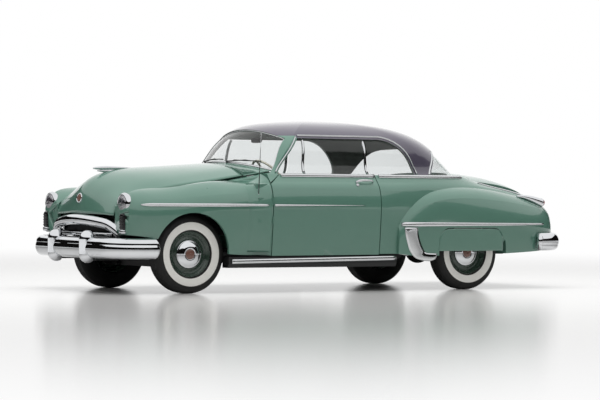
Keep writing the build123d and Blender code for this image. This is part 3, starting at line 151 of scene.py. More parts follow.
FLOOR_HALF = 60.0
FADE_START = 5.0
FADE_END = 16.0
studio_white, tree = empty_tree("studio_floor_paint")
paint = node(
    tree,
    "ShaderNodeBsdfPrincipled",
    {"Base Color": linear("#E4E3E2"), "Roughness": 0.16, "Specular IOR Level": 0.45},
)
glow = node(tree, "ShaderNodeEmission", {"Color": linear("#FFFFFF"), "Strength": 1.0})
place = node(tree, "ShaderNodeNewGeometry")
distance = node(tree, "ShaderNodeVectorMath", {".operation": "LENGTH"}, {0: (place, "Position")})
fade = node(
    tree,
    "ShaderNodeMapRange",
    {".interpolation_type": "SMOOTHSTEP", "From Min": FADE_START, "From Max": FADE_END},
    {"Value": (distance, "Value")},
)
seen = seen_share(tree)
share = node(tree, "ShaderNodeMath", {".operation": "MULTIPLY"}, {0: (fade, "Result"), 1: (seen, 0)})
surface = node(tree, "ShaderNodeMixShader", {}, {0: (share, 0), 1: (paint, "BSDF"), 2: (glow, "Emission")})
node(tree, "ShaderNodeOutputMaterial", {}, {"Surface": (surface, "Shader")})
corners = [(x * FLOOR_HALF, y * FLOOR_HALF, 0) for x, y in ((-1, -1), (1, -1), (1, 1), (-1, 1))]
stage_mesh("studio_floor", corners, [(0, 1, 2, 3)], studio_white)

CURTAIN_RADIUS = 34.0
CURTAIN_HEIGHT = 13.0
CURTAIN_SPREAD = math.radians(150)
CURTAIN_STEPS = 24
curtain_cloth, tree = empty_tree("black_curtain_cloth")
cloth = node(tree, "ShaderNodeBsdfDiffuse", {"Color": linear("#1C1B1A")})
node(tree, "ShaderNodeOutputMaterial", {}, {"Surface": (cloth, "BSDF")})
middle = math.atan2(back.y, back.x)
turns = [middle + CURTAIN_SPREAD * (2 * i / CURTAIN_STEPS - 1) for i in range(CURTAIN_STEPS + 1)]
curtain_points = [
    (CURTAIN_RADIUS * math.cos(turn), CURTAIN_RADIUS * math.sin(turn), height)
    for turn in turns
    for height in (0.0, CURTAIN_HEIGHT)
]
curtain = stage_mesh(
    "studio_curtain",
    curtain_points,
    [(2 * i, 2 * i + 2, 2 * i + 3, 2 * i + 1) for i in range(CURTAIN_STEPS)],
    curtain_cloth,
)
curtain.visible_camera = False
curtain.visible_transmission = False
curtain.visible_diffuse = False
curtain.visible_shadow = False

world = bpy.data.worlds.new("studio")
bpy.context.scene.world = world
world.use_nodes = True
tree = world.node_tree
tree.nodes.clear()
backdrop = node(tree, "ShaderNodeBackground", {"Color": linear("#FFFFFF"), "Strength": 1.0})
sky_light = node(tree, "ShaderNodeBackground", {"Color": linear("#FFFFFF"), "Strength": 0.55})
light = node(
    tree,
    "ShaderNodeMixShader",
    {},
    {0: (seen_share(tree), 0), 1: (sky_light, "Background"), 2: (backdrop, "Background")},
)
node(tree, "ShaderNodeOutputWorld", {}, {"Surface": (light, "Shader")})

SOFTBOX_LENGTH, SOFTBOX_WIDTH, SOFTBOX_WATTS = 11.0, 6.0, 420.0
SOFTBOX_PLACE = (-0.5, -0.8, 6.5)
lamp_data = bpy.data.lights.new("ceiling_softbox", "AREA")
lamp_data.shape = "RECTANGLE"
lamp_data.size = SOFTBOX_LENGTH
lamp_data.size_y = SOFTBOX_WIDTH
lamp_data.energy = SOFTBOX_WATTS
lamp = bpy.data.objects.new("ceiling_softbox", lamp_data)
lamp.location = SOFTBOX_PLACE
lamp.visible_glossy = False
bpy.context.collection.objects.link(lamp)


# The chassis: rails and cross members of pressed steel, the floor and the inner fenders, all dipped in a
# satin black paint. Engine, axle and knuckles are cast iron, and the exhaust is bare mild steel.
def finish(name, colours, grain_mm, roughness, bump_mm=0.0, sockets=None):
    """A surface whose colour and roughness wander between two values over grains of a real size."""
    material, tree = empty_tree(name)
    place = node(tree, "ShaderNodeTexCoord")
    grain = node(
        tree,
        "ShaderNodeTexNoise",
        {"Scale": 1 / (grain_mm * MM), "Detail": 3.0},
        {"Vector": (place, "Object")},
    )
    colour = node(
        tree,
        "ShaderNodeMix",
        {".data_type": "RGBA", 6: linear(colours[0]), 7: linear(colours[1])},
        {0: (grain, 0)},
    )
    sheen = node(
        tree, "ShaderNodeMapRange", {"To Min": roughness[0], "To Max": roughness[1]}, {"Value": (grain, 0)}
    )
    links = {"Base Color": (colour, 2), "Roughness": (sheen, "Result")}
    if bump_mm:
        relief = node(tree, "ShaderNodeBump", {"Distance": bump_mm * MM}, {"Height": (grain, 0)})
        links["Normal"] = (relief, "Normal")
    skin = node(tree, "ShaderNodeBsdfPrincipled", sockets, links)
    node(tree, "ShaderNodeOutputMaterial", {}, {"Surface": (skin, "BSDF")})
    return material


def coat(material, *names):
    """Gives CAD nodes one finish."""
    for name in names:
        mesh = nodes[name].data
        mesh.materials.clear()
        mesh.materials.append(material)


# dipped black paint is half matt, and its film is a little uneven
frame_black = finish("satin_black_paint", ("#151617", "#1C1D1E"), 30, (0.42, 0.55))
# sand-cast iron is dark grey with a coarse skin
cast_iron = finish("cast_iron", ("#2A2A2A", "#3A3938"), 4, (0.6, 0.8), 0.4, {"Metallic": 0.6})
# mild steel that has been hot is dull, with brown blooms
dull_steel = finish("mild_steel", ("#6A6765", "#575049"), 60, (0.4, 0.6), 0.0, {"Metallic": 1.0})
coat(frame_black, "frame_rails", "cross_members", "front_suspension")
coat(frame_black, "inner_fenders", "floor_pan", "fuel_tank")
coat(cast_iron, "engine", "rear_axle", "knuckle_left", "knuckle_right")
coat(dull_steel, "exhaust")


# Tyres: cross-ply rubber with a broad white band moulded into each outer wall, and a tread of ribs that
# run in a zigzag. They sit on the rims by their beads.
def add_piece(name, vertices, faces, materials, body, picks=None, replaced=()):
    """A mesh of the car that rides on a body. picks gives each face the number of its material."""
    mesh = bpy.data.meshes.new(name)
    mesh.from_pydata([tuple(v) for v in vertices], [], faces)
    for material in materials:
        mesh.materials.append(material)
    if picks:
        mesh.polygons.foreach_set("material_index", picks)
    mesh.polygons.foreach_set("use_smooth", [True] * len(faces))
    mesh.update()
    piece = bpy.data.objects.new(name, mesh)
    bpy.context.collection.objects.link(piece)
    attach(piece, body)
    if replaced:
        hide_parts(*replaced)
    return piece


def turned(centre, axis, profile, count, closed=True, sway=None):
    """A turned form: points (radius, offset along the axis) swept round it; sway shifts offsets."""
    axis = axis.normalized()
    first = axis.orthogonal().normalized()
    second = axis.cross(first)
    vertices, faces, rows = [], [], []
    for k in range(count):
        angle = math.tau * k / count
        outward = first * math.cos(angle) + second * math.sin(angle)
        for i, (radius, offset) in enumerate(profile):
            shift = sway(i, k) if sway else 0.0
            vertices.append(centre + outward * (radius * MM) + axis * ((offset + shift) * MM))
    steps = len(profile)
    last = steps if closed else steps - 1
    for k in range(count):
        for i in range(last):
            a, b = k * steps, (k + 1) % count * steps
            j = (i + 1) % steps
            faces.append((a + i, b + i, b + j, a + j))
            rows.append(i)
    return vertices, faces, rows


AXLE_Z = 352
FRONT_TRACK = 1448
REAR_TRACK = 1499
WHEELS = {
    "front_left": (FRONT_AXLE_X, -FRONT_TRACK / 2),
    "front_right": (FRONT_AXLE_X, FRONT_TRACK / 2),
    "rear_left": (REAR_AXLE_X, -REAR_TRACK / 2),
    "rear_right": (REAR_AXLE_X, REAR_TRACK / 2),
}
WALL = [
    (206, 66), (209, 76), (215, 83), (218, 86), (221, 87.5), (236, 91), (254, 94.5), (272, 96), (287, 96),
    (291, 94.5), (294, 93.5), (306, 91.5), (320, 87), (333, 79), (343, 68), (348, 60),
]
WHITE_FROM, WHITE_TO = 3, 8
TREAD_RADIUS, GROOVE_FLOOR = 352, 345
RIB_EDGES = (54, 41, 35, 22, 16, 3)
GROOVE_SWAY = 2.2
TYRE_STEPS = 120
tread = []
for i, offset in enumerate(RIB_EDGES):
    tread.append((TREAD_RADIUS, offset))
    if i % 2 == 1:
        tread.append((GROOVE_FLOOR, offset - 1))
    elif i > 0:
        tread.insert(-1, (GROOVE_FLOOR, offset + 1))
half = WALL + tread
tyre_profile = half + [(r, -o) for r, o in half[::-1]]
# black tyre rubber is matt, and greyer where the mould left it rough
tyre_rubber = finish("tyre_rubber", ("#101010", "#1B1B1B"), 6, (0.6, 0.8), 0.15)
# the white band is rubber too, a warm off-white that has been scrubbed
white_rubber = finish("whitewall_rubber", ("#F1F0EB", "#E4E3DD"), 25, (0.45, 0.6))


def groove_sway(i, k):
    """The zigzag of the tread's ribs; walls and shoulders stay true."""
    in_tread = len(WALL) < i < len(tyre_profile) - len(WALL) - 1
    return GROOVE_SWAY * (1 if k % 4 < 2 else -1) if in_tread else 0.0


for corner, (x, y) in WHEELS.items():
    outward = Vector((0, math.copysign(1, y), 0))
    vertices, faces, rows = turned(
        Vector((x, y * MM, AXLE_Z * MM)), outward, tyre_profile, TYRE_STEPS, sway=groove_sway
    )
    add_piece(
        f"tyre_{corner}_dressed",
        vertices,
        faces,
        [tyre_rubber, white_rubber],
        f"wheel_{corner}",
        picks=[1 if WHITE_FROM <= i < WHITE_TO else 0 for i in rows],
        replaced=[f"tyre_{corner}"],
    )

# Wheels: a pressed steel disc riveted in a drop-centre rim, enamelled in the dark green of the body's
# shadow, with a sprung chrome cap over the hub and its nuts.
RIM = [
    (206, 72), (203, 75.5), (199, 74), (197, 66), (190, 60), (181, 53), (175, 44), (169, 35), (158, 34),
    (148, 39), (137, 45), (128, 46), (118, 42), (90, 36), (34, 36), (34, 32), (90, 32), (118, 38),
    (128, 42), (137, 41), (148, 35), (158, 30), (167, 30), (171, 20), (172, -20), (180, -40), (190, -58),
    (199, -72), (203, -75), (206, -72), (206, -66), (202, -62), (194, -50), (186, -30), (184, 0), (186, 30),
    (194, 50), (203, 62), (206, 66),
]
CAP = [
    (116, 44), (125, 46), (127, 49), (125.5, 53), (120, 55), (116, 55), (112, 58), (96, 64.5), (78, 71),
    (62, 75.5), (54, 76), (50, 74.5), (47, 73.5),
]
BADGE = [(47, 73.5), (45.5, 77.5), (40, 80), (28, 83.5), (14, 85.6), (0.5, 86.2)]
CAP_STEPS = 72
# baked wheel enamel is a deep green gloss
wheel_enamel = finish(
    "dark_green_enamel",
    ("#24362C", "#2B3E33"),
    40,
    (0.22, 0.32),
    0.0,
    {"Coat Weight": 0.6, "Coat Roughness": 0.06},
)
# chrome over nickel on steel is a mirror; faint polishing haze softens it in places
chrome = finish("chrome_plate", ("#E2E4E6", "#D6D8DB"), 80, (0.03, 0.08), 0.0, {"Metallic": 1.0})
# the cap's plain middle is filled with a red-brown enamel
brown_enamel = finish(
    "red_brown_enamel", ("#6E4A3F", "#7B5548"), 8, (0.25, 0.35), 0.0, {"Coat Weight": 0.5}
)
for corner, (x, y) in WHEELS.items():
    centre = Vector((x, y * MM, AXLE_Z * MM))
    outward = Vector((0, math.copysign(1, y), 0))
    vertices, faces, rows = turned(centre, outward, RIM, CAP_STEPS)
    add_piece(
        f"wheel_{corner}_dressed",
        vertices,
        faces,
        [wheel_enamel],
        f"wheel_{corner}",
        replaced=[f"wheel_{corner}"],
    )
    vertices, faces, rows = turned(centre, outward, CAP + BADGE[1:], CAP_STEPS)
    add_piece(
        f"hub_cap_{corner}",
        vertices,
        faces,
        [chrome, brown_enamel],
        f"wheel_{corner}",
        picks=[1 if len(CAP) - 1 <= i < len(CAP) + len(BADGE) - 2 else 0 for i in rows],
    )

# The body: pressed steel panels, butt-welded or bolted, in one green enamel, sprayed and polished by hand.
# The inner faces of the doors and quarters carry trim boards covered in cloth.
# solid enamel has a clear, wet gloss over an even colour
green_enamel = finish(
    "green_enamel",
    ("#567F70", "#5A8474"),
    150,
    (0.26, 0.32),
    0.0,
    {"Coat Weight": 1.0, "Coat Roughness": 0.04, "Coat IOR": 1.5},
)
# woven trim cloth is matt and pale
trim_cloth = finish("trim_board_cloth", ("#8E948F", "#9BA19C"), 3, (0.8, 0.95), 0.3, {"Sheen Weight": 0.3})
# the roof's enamel is as wet, in a dark purple grey
aubergine_enamel = finish(
    "aubergine_enamel",
    ("#4C4757", "#514C5C"),
    150,
    (0.26, 0.32),
    0.0,
    {"Coat Weight": 1.0, "Coat Roughness": 0.04, "Coat IOR": 1.5},
)
GREEN_PANELS = [
    part["node"] for part in frame["record"]["subparts"] if part["material_slot"] == "body_paint"
]
coat(green_enamel, *GREEN_PANELS)
coat(aubergine_enamel, "roof")
coat(frame_black, "sills")
CABIN_MIDDLE = Vector((FRONT_AXLE_X + 1.75, 0, 0.95))
FACING_CABIN = 0.35
LINED_PANELS = (
    "roof", "door_left", "door_right", "quarter_panel_left", "quarter_panel_right", "windscreen_pillars"
)
bpy.context.view_layer.update()
for name in LINED_PANELS:
    mesh = nodes[name].data
    mesh.materials.append(trim_cloth)
    to_world = nodes[name].matrix_world
    for polygon in mesh.polygons:
        toward = CABIN_MIDDLE - to_world @ polygon.center
        if (to_world.to_3x3() @ polygon.normal).normalized().dot(toward.normalized()) > FACING_CABIN:
            polygon.material_index = 1

# The benches: sprung cushions and backs in a pale woven cloth, drawn over padding and tacked to a frame.
# They lie in the space of the solids and swell a little between their edges.
SEAT_SHRINK = 0.982
SEAT_VOXEL = 0.014
SEAT_PRESSURE = 4.0
SEAT_CAP = 0.022
SEAT_FRAMES = 20
# a flat woven cloth; its threads are drawn 6 mm apart, coarser than real, so that the weave still shows
seat_cloth, tree = empty_tree("woven_seat_cloth")
place = node(tree, "ShaderNodeTexCoord")
THREAD = 6.0
# the metres between the bands of a wave texture whose scale is 1
WAVE_REPEAT = 0.314
threads = {".wave_type": "BANDS", "Scale": WAVE_REPEAT / (THREAD * MM), "Distortion": 0.4}
spread = {"Vector": (place, "Object")}
warp = node(tree, "ShaderNodeTexWave", {**threads, ".bands_direction": "Y"}, spread)
weft = node(tree, "ShaderNodeTexWave", {**threads, ".bands_direction": "DIAGONAL"}, spread)
weave = node(tree, "ShaderNodeMath", {".operation": "MULTIPLY"}, {0: (warp, "Fac"), 1: (weft, "Fac")})
colour = node(
    tree,
    "ShaderNodeMix",
    {".data_type": "RGBA", 6: linear("#868C89"), 7: linear("#A3A9A6")},
    {0: (weave, 0)},
)
relief = node(tree, "ShaderNodeBump", {"Distance": 0.5 * MM, "Strength": 0.6}, {"Height": (weave, 0)})
cloth = node(
    tree,
    "ShaderNodeBsdfPrincipled",
    {"Roughness": 0.85, "Sheen Weight": 0.35},
    {"Base Color": (colour, 2), "Normal": (relief, "Normal")},
)
node(tree, "ShaderNodeOutputMaterial", {}, {"Surface": (cloth, "BSDF")})

def welded(name):
    """A CAD node's points and faces, with its doubled points joined."""
    source = nodes[name]
    work = bmesh.new()
    work.from_mesh(source.data)
    bmesh.ops.remove_doubles(work, verts=work.verts, dist=1e-5)
    work.verts.index_update()
    points = [source.matrix_world @ vertex.co for vertex in work.verts]
    faces = [[vertex.index for vertex in face.verts] for face in work.faces]
    work.free()
    return points, faces


def swollen(piece):
    """Blows a cushion up as cloth and keeps each point within the cap of where it began."""
    bpy.context.view_layer.objects.active = piece
    remesh = piece.modifiers.new("remesh", "REMESH")
    remesh.mode = "VOXEL"
    remesh.voxel_size = SEAT_VOXEL
    bpy.ops.object.modifier_apply(modifier=remesh.name)
    began = [vertex.co.copy() for vertex in piece.data.vertices]
    cloth = piece.modifiers.new("cloth", "CLOTH")
    cloth.settings.use_pressure = True
    cloth.settings.uniform_pressure_force = SEAT_PRESSURE
    cloth.settings.effector_weights.gravity = 0.0
    cloth.settings.quality = 4
    cloth.point_cache.frame_end = SEAT_FRAMES
    for step in range(1, SEAT_FRAMES + 1):
        bpy.context.scene.frame_set(step)
    bpy.ops.object.modifier_apply(modifier=cloth.name)
    bpy.context.scene.frame_set(1)
    for vertex, start in zip(piece.data.vertices, began):
        move = vertex.co - start
        if move.length > SEAT_CAP:
            vertex.co = start + move.normalized() * SEAT_CAP
    smoother = piece.modifiers.new("smooth", "SUBSURF")
    smoother.levels = 1
    smoother.render_levels = 1
    bpy.ops.object.modifier_apply(modifier=smoother.name)
    piece.data.polygons.foreach_set("use_smooth", [True] * len(piece.data.polygons))


for name in ("front_seat", "rear_seat"):
    points, faces = welded(name)
    middle = sum(points, Vector()) / len(points)
    points = [middle + (point - middle) * SEAT_SHRINK for point in points]
    pad = add_piece(f"{name}_cushion", points, faces, [seat_cloth], "body")
    swollen(pad)
    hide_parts(name)


# The dashboard: a pressed steel panel in the wheel green, with a round speedometer before the driver and
# a clock before the passenger. The steering wheel is moulded in ivory plastic over a steel core.
def at(x, y, z):
    """A point in metres from millimetres behind the front axle, to the right and above the floor."""
    return Vector((FRONT_AXLE_X + x * MM, y * MM, z * MM))


# moulded cellulose plastic, cream with a soft gloss
ivory_plastic = finish("ivory_plastic", ("#E9E3D2", "#DED7C4"), 30, (0.22, 0.32), 0.0, {"Coat Weight": 0.4})
coat(wheel_enamel, "dashboard")
coat(ivory_plastic, "steering_wheel")
# printed dial faces are matt and dark
dial_face = finish("printed_dial", ("#20211F", "#2A2B28"), 5, (0.5, 0.6))
DIAL = [(1, 2), (40, 2), (52, 5), (56, 10), (60, 10), (64, 5), (65, -6), (1, -6)]
DIAL_RING_FROM = 2
DIAL_X, DIAL_Z, DIAL_STEPS = 916, 952, 48
DIAL_FACING = Vector((0.99, 0, 0.14))
for name, y in (("speedometer", -370), ("clock", 330)):
    vertices, faces, rows = turned(at(DIAL_X, y, DIAL_Z), DIAL_FACING, DIAL, DIAL_STEPS)
    picks = [1 if DIAL_RING_FROM <= i < len(DIAL) - 1 else 0 for i in rows]
    add_piece(name, vertices, faces, [dial_face, chrome], "body", picks)


# Mirror and sun visors: a small mirror in a black shell hangs from the header, and two padded boards
# covered in cloth lie up against it.
def pillow(name, middle, along, across, sizes, material, power=4.0, steps=20):
    """A rounded board on the body: a superellipsoid of full sizes in mm, along, across and through."""
    along = along.normalized()
    through = along.cross(across).normalized()
    across = through.cross(along)
    vertices, faces = [], []
    bend = 2 / power
    for i in range(steps + 1):
        v = math.pi * (i / steps - 0.5)
        for k in range(2 * steps):
            u = math.pi * k / steps
            shares = (math.cos(v) * math.cos(u), math.cos(v) * math.sin(u), math.sin(v))
            x, y, z = [math.copysign(abs(s) ** bend, s) * size / 2 * MM for s, size in zip(shares, sizes)]
            vertices.append(middle + along * x + across * y + through * z)
    ring = 2 * steps
    for i in range(steps):
        a, b = i * ring, (i + 1) * ring
        for k in range(ring):
            n = (k + 1) % ring
            faces.append((a + k, a + n, b + n, b + k))
    return add_piece(name, vertices, faces, [material], "body")


# moulded black shell, half gloss
black_shell = finish("black_moulding", ("#161616", "#202020"), 10, (0.35, 0.45))
UP = Vector((0, 0, 1))
ACROSS_CAR = Vector((0, 1, 0))
MIRROR_LEAN, MIRROR_SIZE = Vector((0.2, 0, 1)), (190, 52, 16)
VISOR_LEAN, VISOR_SIZE = Vector((1, 0, 0.35)), (400, 120, 14)
pillow("rear_view_mirror", at(1175, 0, 1398), ACROSS_CAR, MIRROR_LEAN, MIRROR_SIZE, black_shell)
for name, y in (("sun_visor_left", -300), ("sun_visor_right", 300)):
    pillow(name, at(1255, y, 1440), ACROSS_CAR, VISOR_LEAN, VISOR_SIZE, trim_cloth, 5.0)


# Glass: curved one-piece windscreen and rear window in rubber channels, with flat panes in the doors and
# quarters. Laminated glass is clear and mirrors the sky at low angles.
def skin_of(*names):
    """A target for rays made of CAD nodes at rest."""
    vertices, faces = [], []
    for name in names:
        start = len(vertices)
        vertices += [nodes[name].matrix_world @ v.co for v in nodes[name].data.vertices]
        faces += [[start + i for i in p.vertices] for p in nodes[name].data.polygons]
    return BVHTree.FromPolygons(vertices, faces)


def struck(skin, origin, direction):
    """Where a ray meets a skin, with the normal turned to face the ray, or None."""
    point, normal, index, length = skin.ray_cast(origin, direction)
    if point is None:
        return None
    return point, normal if normal.dot(direction) < 0 else -normal


def side_hit(skin, x, z, side):
    """The panel seen from the car's side: -1 left, 1 right."""
    return struck(skin, at(x, side * 1400, z), Vector((0, -side, 0)))


def front_hit(skin, y, z):
    """The panel seen from ahead of the car."""
    return struck(skin, at(-2000, y, z), Vector((1, 0, 0)))


def top_hit(skin, x, y):
    """The panel seen from above."""
    return struck(skin, at(x, y, 2200), Vector((0, 0, -1)))


window_glass, tree = empty_tree("laminated_glass")
clear = node(tree, "ShaderNodeBsdfTransparent", {"Color": linear("#F7F8F8")})
mirror_face = node(tree, "ShaderNodeBsdfGlossy", {"Color": linear("#FFFFFF"), "Roughness": 0.02})
gloss = node(tree, "ShaderNodeFresnel", {"IOR": 1.5})
facing = node(tree, "ShaderNodeNewGeometry")
front = node(tree, "ShaderNodeMath", {".operation": "SUBTRACT", 0: 1.0}, {1: (facing, "Backfacing")})
gloss = node(tree, "ShaderNodeMath", {".operation": "MULTIPLY"}, {0: (gloss, 0), 1: (front, 0)})
surface = node(
    tree, "ShaderNodeMixShader", {}, {0: (gloss, 0), 1: (clear, "BSDF"), 2: (mirror_face, "BSDF")}
)
node(tree, "ShaderNodeOutputMaterial", {}, {"Surface": (surface, "Shader")})
coat(window_glass, "windscreen", "rear_window", "quarter_glass", "door_glass_left", "door_glass_right")


# Bright trim round the glass: stainless strips that hold the rubber of the windscreen and the rear window,
# drip rails along the roof, and upright bars between the panes. All are rolled strip, clipped on.
def strip(name, stations, material, body, looped=False, sink=3.0, ring=9):
    """A half-round strip on a panel, from stations: point, outward normal, width and height in mm."""
    vertices, faces = [], []
    count = len(stations)
    for i, (point, normal, width, height) in enumerate(stations):
        before = stations[(i - 1) % count if looped else max(i - 1, 0)][0]
        after = stations[(i + 1) % count if looped else min(i + 1, count - 1)][0]
        along = (after - before).normalized()
        across = normal.cross(along).normalized()
        out = along.cross(across)
        for j in range(ring):
            angle = math.pi * j / (ring - 1)
            rise = height * math.sin(angle) - (sink if j in (0, ring - 1) else 0)
            vertices.append(point + across * (width / 2 * math.cos(angle) * MM) + out * (rise * MM))
    for i in range(count if looped else count - 1):
        a, b = i * ring, (i + 1) % count * ring
        for j in range(ring):
            k = (j + 1) % ring
            faces.append((a + j, a + k, b + k, b + j))
    if not looped:
        faces.append(tuple(range(ring))[::-1])
        faces.append(tuple((count - 1) * ring + j for j in range(ring)))
    return add_piece(name, vertices, faces, [material], body)


def bow(a, b, c, steps):
    """Points on the circle through three points in a plane."""
    (ax, ay), (bx, by), (cx, cy) = a, b, c
    d = 2 * (ax * (by - cy) + bx * (cy - ay) + cx * (ay - by))
    ux = ((ax**2 + ay**2) * (by - cy) + (bx**2 + by**2) * (cy - ay) + (cx**2 + cy**2) * (ay - by)) / d
    uy = ((ax**2 + ay**2) * (cx - bx) + (bx**2 + by**2) * (ax - cx) + (cx**2 + cy**2) * (bx - ax)) / d
    radius = math.hypot(ax - ux, ay - uy)
    start = math.atan2(ay - uy, ax - ux)
    end = math.atan2(cy - uy, cx - ux)
    turn = (end - start) % math.tau
    through = (math.atan2(by - uy, bx - ux) - start) % math.tau
    if through > turn:
        turn -= math.tau
    return [
        (ux + radius * math.cos(start + turn * i / steps), uy + radius * math.sin(start + turn * i / steps))
        for i in range(steps + 1)
    ]


def between(start, end, count):
    """Points spread evenly from one place to another in a plane."""
    return [tuple(a + (b - a) * i / (count - 1) for a, b in zip(start, end)) for i in range(count)]


def along_side(skin, outline, side, width, height):
    """A strip's stations where points (x, z) in mm meet a skin that is seen from the side."""
    hits = [side_hit(skin, x, z, side) for x, z in outline]
    return [(*hit, width, height) for hit in hits if hit]


# rolled stainless strip is a little softer than chrome
stainless = finish("stainless_strip", ("#DCDEDF", "#CFD1D3"), 120, (0.08, 0.16), 0.0, {"Metallic": 1.0})
REVEAL_WIDTH, REVEAL_HEIGHT = 24, 9
SCREEN_FOOT = bow((-680, 1114), (0, 1188), (680, 1114), 40)
SCREEN_HEAD = bow((572, 1402), (0, 1488), (-572, 1402), 36)
SCREEN_SIDE = between((680, 1114), (572, 1402), 13)[1:12]
loop = SCREEN_FOOT + SCREEN_SIDE + SCREEN_HEAD + [(-y, z) for y, z in SCREEN_SIDE[::-1]]
screen_skin = skin_of("windscreen")
hits = [front_hit(screen_skin, y, z) for y, z in loop]
stations = [(*hit, REVEAL_WIDTH, REVEAL_HEIGHT) for hit in hits if hit]
strip("windscreen_reveal", stations, stainless, "body", looped=True)

roof_skin = skin_of("roof", "windscreen_pillars")
RAIL_START, RAIL_RUN, RAIL_STEPS = 1225, 850, 24
QUARTER_ARC = ((2075, 1413), (2345, 1330), (2490, 1078))
WINDOW_HEAD = 1413
RAIL_OFFSET, RAIL_LOW = 22, 1080
RAIL_WIDTH, RAIL_HEIGHT = 15, 13
PILLAR_STRIP = between((934, 1092), (1202, 1422), 20)
REAR_TRIM = between((2662, 1084), (2784, 1310), 16)
VENT_DIVIDER = between((1238, 1086), (1274, 1404), 12)
BAR_INSET, BAR_FOOT, BAR_HEAD = 14, 1086, 1402
BAR_WIDTH, BAR_HEIGHT = 26, 12
for side, hand in ((-1, "left"), (1, "right")):
    outline = [(RAIL_START + RAIL_RUN * i / RAIL_STEPS, WINDOW_HEAD + RAIL_OFFSET) for i in range(RAIL_STEPS)]
    curve = bow(*QUARTER_ARC, 26)
    beyond = (2 * curve[-1][0] - curve[-2][0], 2 * curve[-1][1] - curve[-2][1])
    for (x, z), (nx, nz) in zip(curve, curve[1:] + [beyond]):
        length = math.hypot(nx - x, nz - z)
        outline.append((x - (nz - z) / length * RAIL_OFFSET, z + (nx - x) / length * RAIL_OFFSET))
    outline = [(x, z) for x, z in outline if z > RAIL_LOW]
    stations = along_side(roof_skin, outline, side, RAIL_WIDTH, RAIL_HEIGHT)
    strip(f"drip_rail_{hand}", stations, stainless, "body")
    stations = along_side(roof_skin, PILLAR_STRIP, side, RAIL_WIDTH, RAIL_HEIGHT)
    strip(f"pillar_strip_{hand}", stations, stainless, "body")
    stations = along_side(roof_skin, REAR_TRIM, side, REVEAL_WIDTH, REVEAL_HEIGHT)
    strip(f"rear_window_side_trim_{hand}", stations, stainless, "body")
    door_glass = skin_of(f"door_glass_{hand}")
    stations = along_side(door_glass, VENT_DIVIDER, side, BAR_WIDTH, BAR_HEIGHT)
    strip(f"vent_divider_{hand}", stations, stainless, f"door_{hand}")
    bar_x = (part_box(f"door_glass_{hand}")[1][0] - FRONT_AXLE_X) / MM - BAR_INSET
    outline = between((bar_x, BAR_FOOT), (bar_x, BAR_HEAD), 12)
    stations = along_side(door_glass, outline, side, BAR_WIDTH, BAR_HEIGHT)
    strip(f"glass_bar_{hand}", stations, stainless, f"door_{hand}")

# Side mouldings: a long spear of stainless strip along fender and door, a belt moulding under the glass, a
# rocker strip along the sill, and a spear and a crest strip on each rear fender. All are clipped on.
STATION_GAP = 40
SEAM_ROOM = 6
SPEAR_Z, SPEAR_CLIMB = 792, 4
SPEAR_START, SPEAR_END = -540, 1803
SPEAR_WIDTH, SPEAR_TIP, SPEAR_HEIGHT = 33, 3, 15
TAPER_FROM = 0.35
SPEAR_NOSE = 90
PRESSING_FROM, PRESSING_LIFT = 500, 5
BELT_START, BELT_END, BELT_Z = 905, 3067, 1060
BELT_WIDTH, BELT_HEIGHT, BELT_RISE, BELT_EASE = 36, 13, 8, 60
BELT_FACING = 0.3
ROCKER = between((340, 285), (2170, 307), 41)
ROCKER_WIDTH, ROCKER_HEIGHT = 44, 12
REAR_SPEAR_START, REAR_SPEAR_RUN, REAR_SPEAR_Z, REAR_SPEAR_STEPS = 2172, 1757, 622, 45
CREST_START, CREST_RUN, CREST_STEPS = 3275, 680, 30
CREST_WIDTH, CREST_HEIGHT = 24, 10
